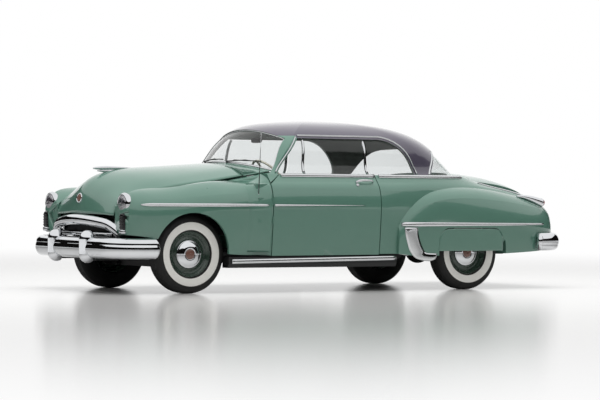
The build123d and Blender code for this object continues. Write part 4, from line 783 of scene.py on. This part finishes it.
for side, hand in ((-1, "left"), (1, "right")):
    door = skin_of(f"door_{hand}")
    door_rear = (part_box(f"door_{hand}")[1][0] - FRONT_AXLE_X) / MM
    fender = skin_of(f"front_fender_{hand}", "cowl")
    fender_rear = (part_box(f"front_fender_{hand}")[1][0] - FRONT_AXLE_X) / MM
    quarter = skin_of(f"quarter_panel_{hand}", "roof")
    rear_fender = skin_of(f"rear_fender_{hand}")
    for name, skin, body, start, end in (
        ("spear_fender", fender, "body", SPEAR_START, fender_rear - 3),
        ("spear_door", door, f"door_{hand}", fender_rear + SEAM_ROOM, SPEAR_END),
    ):
        stations = []
        steps = round((end - start) / STATION_GAP)
        for i in range(steps + 1):
            x = start + (end - start) * i / steps
            share = (x - SPEAR_START) / (SPEAR_END - SPEAR_START)
            nose = min(1.0, 0.35 + (x - SPEAR_START) / SPEAR_NOSE)
            hit = side_hit(skin, x, SPEAR_Z + SPEAR_CLIMB * share, side)
            if hit:
                drawn = (SPEAR_TIP - SPEAR_WIDTH) * max(0.0, share - TAPER_FROM) / (1 - TAPER_FROM)
                width = (SPEAR_WIDTH + drawn) * nose
                height = SPEAR_HEIGHT * (0.3 + 0.7 * width / SPEAR_WIDTH)
                lift = hit[1] * (PRESSING_LIFT * MM if name == "spear_fender" and x > PRESSING_FROM else 0)
                stations.append((hit[0] + lift, hit[1], width, height))
        strip(f"{name}_{hand}", stations, stainless, body)
    for name, skin, body, start, end in (
        ("belt_door", door, f"door_{hand}", BELT_START, door_rear - SEAM_ROOM),
        ("belt_quarter", quarter, "body", door_rear + SEAM_ROOM, BELT_END),
    ):
        stations = []
        steps = round((end - start) / STATION_GAP)
        for i in range(steps + 1):
            x = start + (end - start) * i / steps
            hit = side_hit(skin, x, BELT_Z, side)
            if hit:
                ease = min(1.0, 0.4 + min(abs(x - BELT_START), abs(x - BELT_END)) / BELT_EASE)
                point = hit[0] + UP * (BELT_RISE * MM)
                normal = Vector((0, side, BELT_FACING))
                stations.append((point, normal, BELT_WIDTH * ease, BELT_HEIGHT * ease))
        strip(f"{name}_{hand}", stations, stainless, body)
    stations = along_side(skin_of("sills"), ROCKER, side, ROCKER_WIDTH, ROCKER_HEIGHT)
    strip(f"rocker_strip_{hand}", stations, stainless, "body")
    stations = []
    for i in range(REAR_SPEAR_STEPS + 1):
        share = i / REAR_SPEAR_STEPS
        hit = side_hit(rear_fender, REAR_SPEAR_START + REAR_SPEAR_RUN * share, REAR_SPEAR_Z, side)
        if hit:
            stations.append((*hit, (48 - 28 * share) * min(1.0, 0.4 + i / 3), 15 - 6 * share))
    strip(f"rear_spear_{hand}", stations, stainless, "body")
    crest = skin_of(f"quarter_panel_{hand}", f"rear_fender_{hand}")
    stations = []
    for i in range(CREST_STEPS + 1):
        hit = top_hit(crest, CREST_START + CREST_RUN * i / CREST_STEPS, side * (652 - 6 * i / CREST_STEPS))
        if hit:
            ease = min(1.0, 0.3 + i / 4, 0.3 + (CREST_STEPS - i) / 4)
            stations.append((*hit, CREST_WIDTH * ease, CREST_HEIGHT))
    strip(f"crest_strip_{hand}", stations, stainless, "body")


# Handles, antenna and wipers: a chromed pull on each door, a telescoping steel rod on the left fender, and
# two wiper arms with black blades at the windscreen's foot.
def rod(name, points, radii, material, body, ring=12):
    """A round bar along points, of a radius in mm at each."""
    vertices, faces = [], []
    for i, (point, radius) in enumerate(zip(points, radii)):
        along = (points[min(i + 1, len(points) - 1)] - points[max(i - 1, 0)]).normalized()
        first = along.cross(UP if abs(along.z) < 0.9 else Vector((1, 0, 0))).normalized()
        second = along.cross(first)
        for j in range(ring):
            angle = math.tau * j / ring
            vertices.append(point + (first * math.cos(angle) + second * math.sin(angle)) * (radius * MM))
    for i in range(len(points) - 1):
        for j in range(ring):
            k = (j + 1) % ring
            faces.append((i * ring + j, i * ring + k, (i + 1) * ring + k, (i + 1) * ring + j))
    faces.append(tuple(range(ring))[::-1])
    faces.append(tuple((len(points) - 1) * ring + j for j in range(ring)))
    return add_piece(name, vertices, faces, [material], body)


HANDLE = (
    (1734, -4, 9), (1742, 10, 11), (1762, 24, 12), (1800, 30, 11), (1850, 30, 10), (1890, 28, 9),
    (1912, 22, 8), (1922, 8, 8), (1924, -4, 8),
)
HANDLE_Z = 1007
LOCK_X, LOCK_Z = 1742, 985
LOCK = [(0.5, -3), (15, -3), (16, 4), (13, 9), (8, 11), (0.5, 11.5)]
for side, hand in ((-1, "left"), (1, "right")):
    door = skin_of(f"door_{hand}")
    points = []
    for x, stand, radius in HANDLE:
        point, normal = side_hit(door, x, HANDLE_Z, side)
        points.append(point + normal * (stand * MM))
    rod(f"door_handle_{hand}", points, [row[2] for row in HANDLE], chrome, f"door_{hand}")
    button, normal = side_hit(door, LOCK_X, LOCK_Z, side)
    vertices, faces, rows = turned(button, normal, LOCK, 24)
    add_piece(f"door_lock_{hand}", vertices, faces, [chrome], f"door_{hand}")

mast_foot, normal = top_hit(skin_of("front_fender_left"), 668, -868)
MAST_LEAN = Vector((0.02, -0.03, 1))
MAST = [
    (0.5, -6), (17, -6), (18, 3), (13, 12), (8, 22), (6, 40), (5, 44), (4.2, 200), (3.4, 204), (3.2, 380),
    (2.4, 384), (2.2, 574), (4, 578), (4, 584), (0.5, 587),
]
vertices, faces, rows = turned(mast_foot, MAST_LEAN, MAST, 16)
add_piece("radio_antenna", vertices, faces, [chrome], "body")

# blade rubber is matt black
wiper_rubber = finish("wiper_rubber", ("#121212", "#1B1B1B"), 4, (0.5, 0.65))
BLADE_POINTS, BLADE_RADIUS, BLADE_STAND = 9, 5, 14
BLADE_Z, BLADE_FALL = 1206, 0.035
glass_and_cowl = skin_of("windscreen", "cowl")
for hand, pivot_y, tip_y in (("left", -150, -470), ("right", 300, -10)):
    blade = []
    for i in range(BLADE_POINTS):
        share = i / (BLADE_POINTS - 1)
        y = pivot_y + (tip_y - pivot_y) * (0.25 + 0.95 * share)
        point, normal = front_hit(screen_skin, y, BLADE_Z - abs(y) * BLADE_FALL)
        blade.append(point + normal * (BLADE_STAND * MM))
    rod(f"wiper_blade_{hand}", blade, [BLADE_RADIUS] * BLADE_POINTS, wiper_rubber, "body", 8)
    foot, normal = front_hit(glass_and_cowl, pivot_y, 1180)
    arm = [foot + normal * (2 * MM), foot + normal * (22 * MM)]
    arm += [blade[4] + normal * (10 * MM), blade[5] + normal * (2 * MM)]
    rod(f"wiper_arm_{hand}", arm, [9, 7, 4, 3], black_shell, "body", 10)


# Hood skin: the outer pressing of the hood, drawn in one sheet from the cowl over the nose to the lip, with
# its edges laid along the fenders. It is painted, and bolted to the hinged frame beneath it.
def eased(points, count):
    """Points spread evenly along a smooth curve through the given ones."""
    path = []
    for i in range(len(points) - 1):
        before = points[max(i - 1, 0)]
        after = points[min(i + 2, len(points) - 1)]
        a, b = points[i], points[i + 1]
        for k in range(16):
            t = k / 16
            square = (2 * before - 5 * a + 4 * b - after) * t**2
            cube = (3 * a - before - 3 * b + after) * t**3
            path.append(0.5 * ((2 * a) + (b - before) * t + square + cube))
    path.append(points[-1])
    lengths = [0.0]
    for a, b in zip(path, path[1:]):
        lengths.append(lengths[-1] + (b - a).length)
    spread, k = [], 0
    for i in range(count):
        target = lengths[-1] * i / (count - 1)
        while k < len(path) - 2 and lengths[k + 1] < target:
            k += 1
        span = lengths[k + 1] - lengths[k]
        spread.append(path[k].lerp(path[k + 1], (target - lengths[k]) / span if span else 0.0))
    return spread


def sheet_mesh(name, grid, wall, material, body, replaced=()):
    """A closed sheet of metal: a grid of outer points, thickened inwards by a wall in mm."""
    rows, columns = len(grid), len(grid[0])
    normals = []
    for i in range(rows):
        for j in range(columns):
            down = grid[min(i + 1, rows - 1)][j] - grid[max(i - 1, 0)][j]
            over = grid[i][min(j + 1, columns - 1)] - grid[i][max(j - 1, 0)]
            normals.append(down.cross(over).normalized())
    outer = [point for row in grid for point in row]
    inner = [point - normal * (wall * MM) for point, normal in zip(outer, normals)]
    count = len(outer)
    faces = []
    for i in range(rows - 1):
        for j in range(columns - 1):
            a = i * columns + j
            b, c, d = a + 1, a + columns + 1, a + columns
            faces.append((a, d, c, b))
            faces.append((count + a, count + b, count + c, count + d))
    rim = list(range(columns))
    rim += [i * columns + columns - 1 for i in range(1, rows)]
    rim += [(rows - 1) * columns + j for j in range(columns - 2, -1, -1)]
    rim += [i * columns for i in range(rows - 2, 0, -1)]
    for a, b in zip(rim, rim[1:] + rim[:1]):
        faces.append((a, b, count + b, count + a))
    return add_piece(name, outer + inner, faces, [material], body, replaced=replaced)


HOOD_LINES = (
    (0, ((632, 1172), (163, 1140), (-200, 1116), (-430, 1080), (-600, 1004), (-682, 890), (-703, 706))),
    (150, ((632, 1166), (150, 1129), (-190, 1102), (-410, 1062), (-570, 985), (-662, 875), (-695, 705))),
    (300, ((632, 1150), (130, 1100), (-180, 1068), (-390, 1022), (-540, 950), (-632, 850), (-678, 702))),
    (450, ((632, 1124), (115, 1050), (-170, 1010), (-370, 960), (-520, 898), (-606, 826), (-660, 697))),
)
HOOD_EDGE = (
    (632, 636, 1058), (400, 617, 1018), (0, 590, 958), (-320, 568, 897), (-500, 558, 856), (-590, 552, 812),
    (-641, 548, 692),
)
HOOD_ALONG, HOOD_ACROSS, HOOD_WALL = 60, 33, 6
hood_lines = [eased([at(x, y, z) for x, z in points], HOOD_ALONG) for y, points in HOOD_LINES]
hood_edge = eased([at(*point) for point in HOOD_EDGE], HOOD_ALONG)
hood_lines.append(hood_edge)
grid = []
for i in range(HOOD_ALONG):
    right = [line[i] for line in hood_lines]
    left = [Vector((p.x, -p.y, p.z)) for p in right[:0:-1]]
    grid.append(eased(left + right, HOOD_ACROSS))
hood_skin = sheet_mesh("hood_skin", grid, HOOD_WALL, green_enamel, "hood", replaced=["hood"])

# Cowl skin: the arched panel between the hood's rear edge and the windscreen's foot, welded to the body,
# with its seams leaded, filed and painted over.
COWL_ALONG, COWL_ACROSS, COWL_WALL = 10, 45, 4
COWL_FRONT_X = 640
COWL_FRONT = ((-650, 1061), (-450, 1123), (-300, 1149), (-150, 1165), (0, 1171))
COWL_FOOT = bow((-682, 1112), (0, 1186), (682, 1112), COWL_ACROSS - 1)
front_line = [at(COWL_FRONT_X, y, z) for y, z in COWL_FRONT]
front_line += [Vector((p.x, -p.y, p.z)) for p in front_line[-2::-1]]
front_line = eased(front_line, COWL_ACROSS)
foot_line = [front_hit(screen_skin, y, z)[0] for y, z in COWL_FOOT]
grid = []
for i in range(COWL_ALONG):
    share = i / (COWL_ALONG - 1)
    grid.append([a.lerp(b, share) for a, b in zip(front_line, foot_line)])
sheet_mesh("cowl_skin", grid, COWL_WALL, green_enamel, "body")

# Hood ledges: flanges that rise from each fender's inner edge and run under the edges of hood and cowl, to
# lead rain away. They are folded sheet, spot-welded to the fenders and painted with them.
LEDGE_OUT, LEDGE_IN, LEDGE_DROP, LEDGE_LAST = 40, 60, 16, 24
LEDGE_WALL = 3
for side, hand in ((-1, "left"), (1, "right")):
    fender = skin_of(f"front_fender_{hand}")
    edge = [foot_line[-1].lerp(front_line[-1], k / 7) for k in range(7)] + hood_edge[:LEDGE_LAST]
    grid = []
    for point in edge:
        x, y, z = (point.x - FRONT_AXLE_X) / MM, point.y / MM, point.z / MM
        hit = top_hit(fender, x, side * (y + LEDGE_OUT))
        low = hit[0].z / MM - 2 if hit and hit[0].z / MM > z - 120 else z - 60
        row = [at(x, side * (y + LEDGE_OUT), low), at(x, side * (y + 4), z - LEDGE_DROP)]
        row.append(at(x, side * (y - LEDGE_IN), z - LEDGE_DROP - 4))
        grid.append(row if side > 0 else row[::-1])
    sheet_mesh(f"hood_ledge_{hand}", grid, LEDGE_WALL, green_enamel, "body")


# Fender noses, fender sides and bumper tips: rounded pressings that finish the cut ends of the solids.
# They are painted or plated with the piece that they end.
def end_outline(name, low, high, facing):
    """The rim of a CAD node's flat end face inside a box, in order round its middle."""
    corner = nodes[name].matrix_world
    points = []
    for polygon in nodes[name].data.polygons:
        middle = corner @ polygon.center
        inside = all(l <= c <= h for l, c, h in zip(low, middle, high))
        if inside and (corner.to_3x3() @ polygon.normal).normalized().dot(facing) > 0.98:
            points += [corner @ nodes[name].data.vertices[i].co for i in polygon.vertices]
    middle = sum(points, Vector()) / len(points)
    first = facing.orthogonal().normalized()
    second = facing.cross(first)
    farthest = {}
    for point in points:
        arm = point - middle
        turn = round(math.degrees(math.atan2(arm.dot(second), arm.dot(first))) / 6)
        if turn not in farthest or arm.length > (farthest[turn] - middle).length:
            farthest[turn] = point
    return [farthest[turn] for turn in sorted(farthest)], middle


def end_cap(name, outline, middle, facing, depth, material):
    """A dome over an end face of the body, tangent to the sides at its rim."""
    count = len(outline)
    vertices, faces = [], []
    turns = [math.pi / 2 * k / 7 for k in range(8)]
    for turn in turns:
        for point in outline:
            reach = middle + (point - middle) * max(math.cos(turn), 0.002) * 1.004
            vertices.append(reach + facing * (depth * math.sin(turn) * MM - 1 * MM))
    for k in range(len(turns) - 1):
        a, b = k * count, (k + 1) * count
        for j in range(count):
            n = (j + 1) % count
            faces.append((a + j, a + n, b + n, b + j))
    faces.append(tuple(range(count))[::-1])
    return add_piece(name, vertices, faces, [material], "body")


FORWARD = Vector((-1, 0, 0))
NOSE_DEPTH, TIP_DEPTH = 26, 42
SIDE_KNOTS = (430, 540, 792)
SIDE_FRONT, SIDE_LENGTH, SIDE_COLUMNS = 536, 257, 15
SIDE_LOW, SIDE_RISE, SIDE_ROWS = 345, 650, 26
SIDE_WALL, SIDE_PROUD = 3, 3.0
for side, hand in ((-1, "left"), (1, "right")):
    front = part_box(f"front_fender_{hand}")[0][0]
    low, high = (front - 0.002, -2, 0), (front + 0.004, 2, 2)
    outline, middle = end_outline(f"front_fender_{hand}", low, high, FORWARD)
    end_cap(f"fender_nose_{hand}", outline, middle, FORWARD, NOSE_DEPTH, green_enamel)
    near, far = sorted((side * 0.6, side * 1.2))
    for name, facing in (("front_bumper", -FORWARD), ("rear_bumper", FORWARD)):
        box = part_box(name)
        end = box[1][0] if facing.x > 0 else box[0][0]
        outline, middle = end_outline(name, (end - 0.03, near, 0), (end + 0.03, far, 2), facing)
        end_cap(f"{name}_tip_{hand}", outline, middle, facing, TIP_DEPTH, chrome)
    fender = skin_of(f"front_fender_{hand}")
    grid = []
    for i in range(SIDE_ROWS):
        z = SIDE_LOW + SIDE_RISE * i / (SIDE_ROWS - 1)
        hits = [side_hit(fender, x, z, side) for x in SIDE_KNOTS]
        if None in hits:
            continue
        row = []
        for k in range(SIDE_COLUMNS):
            x = SIDE_FRONT + SIDE_LENGTH * k / (SIDE_COLUMNS - 1)
            y = 0.0
            for (point, normal), knot in zip(hits, SIDE_KNOTS):
                weight = 1.0
                for other in SIDE_KNOTS:
                    if other != knot:
                        weight *= (x - other) / (knot - other)
                y += weight * point.y
            lift = min(SIDE_PROUD, -2.0 + 0.8 * len(grid), -4.0 + 2.4 * k)
            row.append(Vector((at(x, 0, 0).x, y + side * lift * MM, z * MM)))
        grid.append(row if side > 0 else row[::-1])
    sheet_mesh(f"fender_side_{hand}", grid, SIDE_WALL, green_enamel, "body")

# Headlamps: a sealed round lamp with a fluted lens, held in each fender's nose by a chromed bezel. A dark
# ribbed parking lamp stands under each, in a chromed frame.
LAMP_X, LAMP_Y, LAMP_Z, LAMP_STEPS = -612, 700, 797, 64
BEZEL = [
    (90, -40), (97, -8), (101, 2), (101, 10), (98, 20), (91, 30), (84, 34), (79, 33), (77, 28), (79, 10),
    (82, -40),
]
LENS = [
    (79, 26), (72, 34), (58, 41), (38, 46), (18, 48.5), (0.5, 49), (0.5, 45), (18, 44.5), (38, 42), (58, 37),
    (72, 30), (78, 22),
]
BOWL = [
    (78, 20), (66, 2), (46, -12), (24, -19), (0.5, -21), (0.5, -24), (24, -22), (46, -15), (68, 0), (80, 18),
]
PARKING_Y = 738
SHELL_SIZE, RIB_SIZE, TIP_SIZE = (150, 74, 46), (66, 9, 10), (44, 82, 50)
RIB_COUNT, RIB_GAP, RIB_LOW = 5, 24, 590
# pressed lens glass: clear, with upright flutes 9 mm apart that break up what lies behind
lens_glass, tree = empty_tree("fluted_lens_glass")
FLUTE = 9.0
place = node(tree, "ShaderNodeTexCoord")
flutes = node(
    tree,
    "ShaderNodeTexWave",
    {".wave_type": "BANDS", ".bands_direction": "Y", "Scale": WAVE_REPEAT / (FLUTE * MM)},
    {"Vector": (place, "Object")},
)
relief = node(tree, "ShaderNodeBump", {"Distance": 1.5 * MM, "Strength": 0.7}, {"Height": (flutes, "Fac")})
clear = node(tree, "ShaderNodeBsdfTransparent", {"Color": linear("#D9D6DA")})
shine = node(
    tree,
    "ShaderNodeBsdfGlossy",
    {"Color": linear("#F2F2F4"), "Roughness": 0.08},
    {"Normal": (relief, "Normal")},
)
surface = node(tree, "ShaderNodeMixShader", {0: 0.35}, {1: (clear, "BSDF"), 2: (shine, "BSDF")})
node(tree, "ShaderNodeOutputMaterial", {}, {"Surface": (surface, "Shader")})
# enamelled black shell, with more gloss than the mouldings
parking_black = finish("parking_lamp_shell", ("#101112", "#1A1B1C"), 12, (0.15, 0.3))
for side, hand in ((-1, "left"), (1, "right")):
    centre = at(LAMP_X, side * LAMP_Y, LAMP_Z)
    for name, profile, material in (
        ("headlamp_bezel", BEZEL, chrome),
        ("headlamp_lens", LENS, lens_glass),
        ("headlamp_bowl", BOWL, chrome),
    ):
        vertices, faces, rows = turned(centre, FORWARD, profile, LAMP_STEPS)
        lamp_piece = add_piece(f"{name}_{hand}", vertices, faces, [material], "body")
        if name == "headlamp_bezel" and side < 0:
            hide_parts("headlamps")
    y = side * PARKING_Y
    shell = at(-648, y, 638)
    pillow(f"parking_lamp_{hand}", shell, UP, ACROSS_CAR, SHELL_SIZE, parking_black, 6.0)
    for k in range(RIB_COUNT):
        rib = at(-671, y, RIB_LOW + RIB_GAP * k)
        pillow(f"parking_rib_{hand}_{k}", rib, ACROSS_CAR, UP, RIB_SIZE, black_shell, 5.0, 8)
    pillow(f"parking_tip_{hand}", at(-656, y, 552), UP, ACROSS_CAR, TIP_SIZE, chrome, 3.0)

# Grille and nose: a chromed arch over a bar, with a black pressed screen behind them, a plain round badge
# and a streamlined ornament on the hood. The screen is ribbed sheet; the badge is enamel in a chrome rim.
coat(chrome, "front_bumper", "rear_bumper", "grille", "tail_lamps")
SCREEN_RIB, SCREEN_RIBS = 16, 66
SCREEN_LOW, SCREEN_RISE, SCREEN_ROWS = 430, 270, 9
SCREEN_WALL = 2
grid = []
for i in range(SCREEN_ROWS):
    z = SCREEN_LOW + SCREEN_RISE * i / (SCREEN_ROWS - 1)
    row = []
    for k in range(-SCREEN_RIBS, SCREEN_RIBS + 1):
        y = k * SCREEN_RIB / 2
        row.append(at(-560 - 60 * (1 - (y / 560) ** 2) - (9 if k % 2 else 0), y, z))
    grid.append(row[::-1])
sheet_mesh("grille_screen", grid, SCREEN_WALL, black_shell, "body")
hood_surface = BVHTree.FromObject(hood_skin, bpy.context.evaluated_depsgraph_get())
nose, normal = front_hit(hood_surface, 0, 846)
NOSE_BADGE = [
    (0.5, -4), (44, -4), (46, 3), (42, 9), (38, 9), (36, 6), (34, 5), (22, 9), (10, 11), (0.5, 11.5),
]
ENAMEL_FROM, ENAMEL_TO = 6, 9
vertices, faces, rows = turned(nose, normal, NOSE_BADGE, 48)
picks = [1 if ENAMEL_FROM <= i < ENAMEL_TO else 0 for i in rows]
add_piece("nose_badge", vertices, faces, [chrome, brown_enamel], "hood", picks)
ORNAMENT = [(0.5, 0), (7, 6), (12, 30), (17, 80), (19, 140), (16, 220), (11, 310), (5, 390), (0.5, 412)]
ORNAMENT_LEAN = Vector((1, 0, 0.012))
vertices, faces, rows = turned(at(-567, 0, 1116), ORNAMENT_LEAN, ORNAMENT, 24, closed=False)
add_piece("hood_ornament", vertices, faces, [chrome], "hood")
FIN_RADII = [4, 9, 13, 16, 17, 17, 16, 15, 13, 10, 5]
FIN_SINK = 14
fin = [at(-520 + 34 * k, 0, 1106 - 0.2 * k) for k in range(len(FIN_RADII))]
rod("hood_ornament_fin", [p - UP * (FIN_SINK * MM) for p in fin], FIN_RADII, chrome, "hood")

# Tail lamps and stone guards: chromed pods on the fenders' crests, each with a moulded red lens in a bezel,
# and a stainless guard, pressed in a J, that is screwed to each rear fender ahead of its wheel.
# red acrylic is clear and deep, and lit from within by what it mirrors
red_lens = finish("red_acrylic", ("#8E1A1E", "#A82328"), 6, (0.08, 0.15), 0.0, {"Coat Weight": 1.0})
LENS_CAP = [
    (0.5, -6), (38, -6), (44, -2), (45, 6), (42, 12), (40, 12), (38, 20), (31, 31), (20, 38), (8, 41),
    (0.5, 41.5),
]
LENS_FROM, LENS_STEPS = 5, 40
TAIL_X, TAIL_Y, TAIL_Z = 3982, 728, 830
TAIL_FACING = Vector((1, 0, -0.05))
GUARD_OUTER = (
    (2232, 594), (2240, 530), (2259, 459), (2293, 373), (2353, 308), (2425, 284), (2517, 275), (2580, 290),
)
GUARD_INNER = (
    (2372, 590), (2378, 540), (2396, 480), (2424, 420), (2464, 362), (2506, 352), (2556, 350), (2602, 348),
)
GUARD_ROWS, GUARD_COLUMNS, GUARD_WALL = 30, 7, 5
GUARD_LOWEST, GUARD_CROWN, GUARD_PROUD = 345, 9, 2
guard_outer = eased([Vector((x, z, 0)) for x, z in GUARD_OUTER], GUARD_ROWS)
guard_inner = eased([Vector((x, z, 0)) for x, z in GUARD_INNER], GUARD_ROWS)
for side, hand in ((-1, "left"), (1, "right")):
    vertices, faces, rows = turned(at(TAIL_X, side * TAIL_Y, TAIL_Z), TAIL_FACING, LENS_CAP, LENS_STEPS)
    picks = [1 if LENS_FROM <= i < len(LENS_CAP) - 1 else 0 for i in rows]
    add_piece(f"tail_lens_{hand}", vertices, faces, [chrome, red_lens], "body", picks)
    rear_fender = skin_of(f"rear_fender_{hand}")
    grid, last = [], -925 * MM
    for a, b in zip(guard_outer, guard_inner):
        row = []
        for k in range(GUARD_COLUMNS):
            p = a.lerp(b, k / (GUARD_COLUMNS - 1))
            hit = side_hit(rear_fender, p.x, max(p.y, GUARD_LOWEST), side)
            last = hit[0].y if hit and abs(hit[0].y) > 0.8 else side * abs(last)
            rise = GUARD_CROWN * math.sin(math.pi * min(1, (k + 0.6) / 7.2)) + GUARD_PROUD
            row.append(Vector((at(p.x, 0, 0).x, last + side * rise * MM, p.y * MM)))
        grid.append(row if side < 0 else row[::-1])
    sheet_mesh(f"stone_guard_{hand}", grid, GUARD_WALL, stainless, "body")

# Fender skirts: removable pressed panels that fill each rear wheel's opening, hung on a lip inside the
# fender. Their lower edge is rolled and runs level across the tyre.
SKIRT_LEFT, SKIRT_RIGHT, SKIRT_LOW, SKIRT_TOP, SKIRT_ROUND = 2623, 3383, 366, 580, 110
SKIRT_FOOT, SKIRT_RISE = SKIRT_LOW + 4, 210
SKIRT_ROWS, SKIRT_COLUMNS, SKIRT_WALL, SKIRT_PROUD = 16, 33, 4, 2
SHAPE_X = 2760
OPENING_LEFT, OPENING_RIGHT = 2745, 3260
LEVEL_INSIDE, LEVEL_OUTSIDE = 560, 600
skirt_heights = [SKIRT_FOOT + SKIRT_RISE * i / (SKIRT_ROWS - 1) for i in range(SKIRT_ROWS)]
for side, hand in ((-1, "left"), (1, "right")):
    skin = skin_of(f"fender_skirt_{hand}", f"rear_fender_{hand}")
    shape = [side_hit(skin, SHAPE_X, z, side)[0].y for z in skirt_heights]
    grid = []
    for i, z in enumerate(skirt_heights):
        inset = 0.0
        if z > SKIRT_TOP - SKIRT_ROUND:
            inset = SKIRT_ROUND - math.sqrt(max(0.0, SKIRT_ROUND**2 - (z - SKIRT_TOP + SKIRT_ROUND) ** 2))
        row = []
        for k in range(SKIRT_COLUMNS):
            x = SKIRT_LEFT + inset + (SKIRT_RIGHT - SKIRT_LEFT - 2 * inset) * k / (SKIRT_COLUMNS - 1)
            height = LEVEL_INSIDE if OPENING_LEFT < x < OPENING_RIGHT else LEVEL_OUTSIDE
            level = side_hit(skin, x, height, side)[0].y
            base = side_hit(skin, SHAPE_X, height, side)[0].y
            row.append(Vector((at(x, 0, 0).x, shape[i] + level - base + side * SKIRT_PROUD * MM, z * MM)))
        grid.append(row if side > 0 else row[::-1])
    replaced = [f"fender_skirt_{hand}"]
    sheet_mesh(f"skirt_{hand}", grid, SKIRT_WALL, green_enamel, "body", replaced)
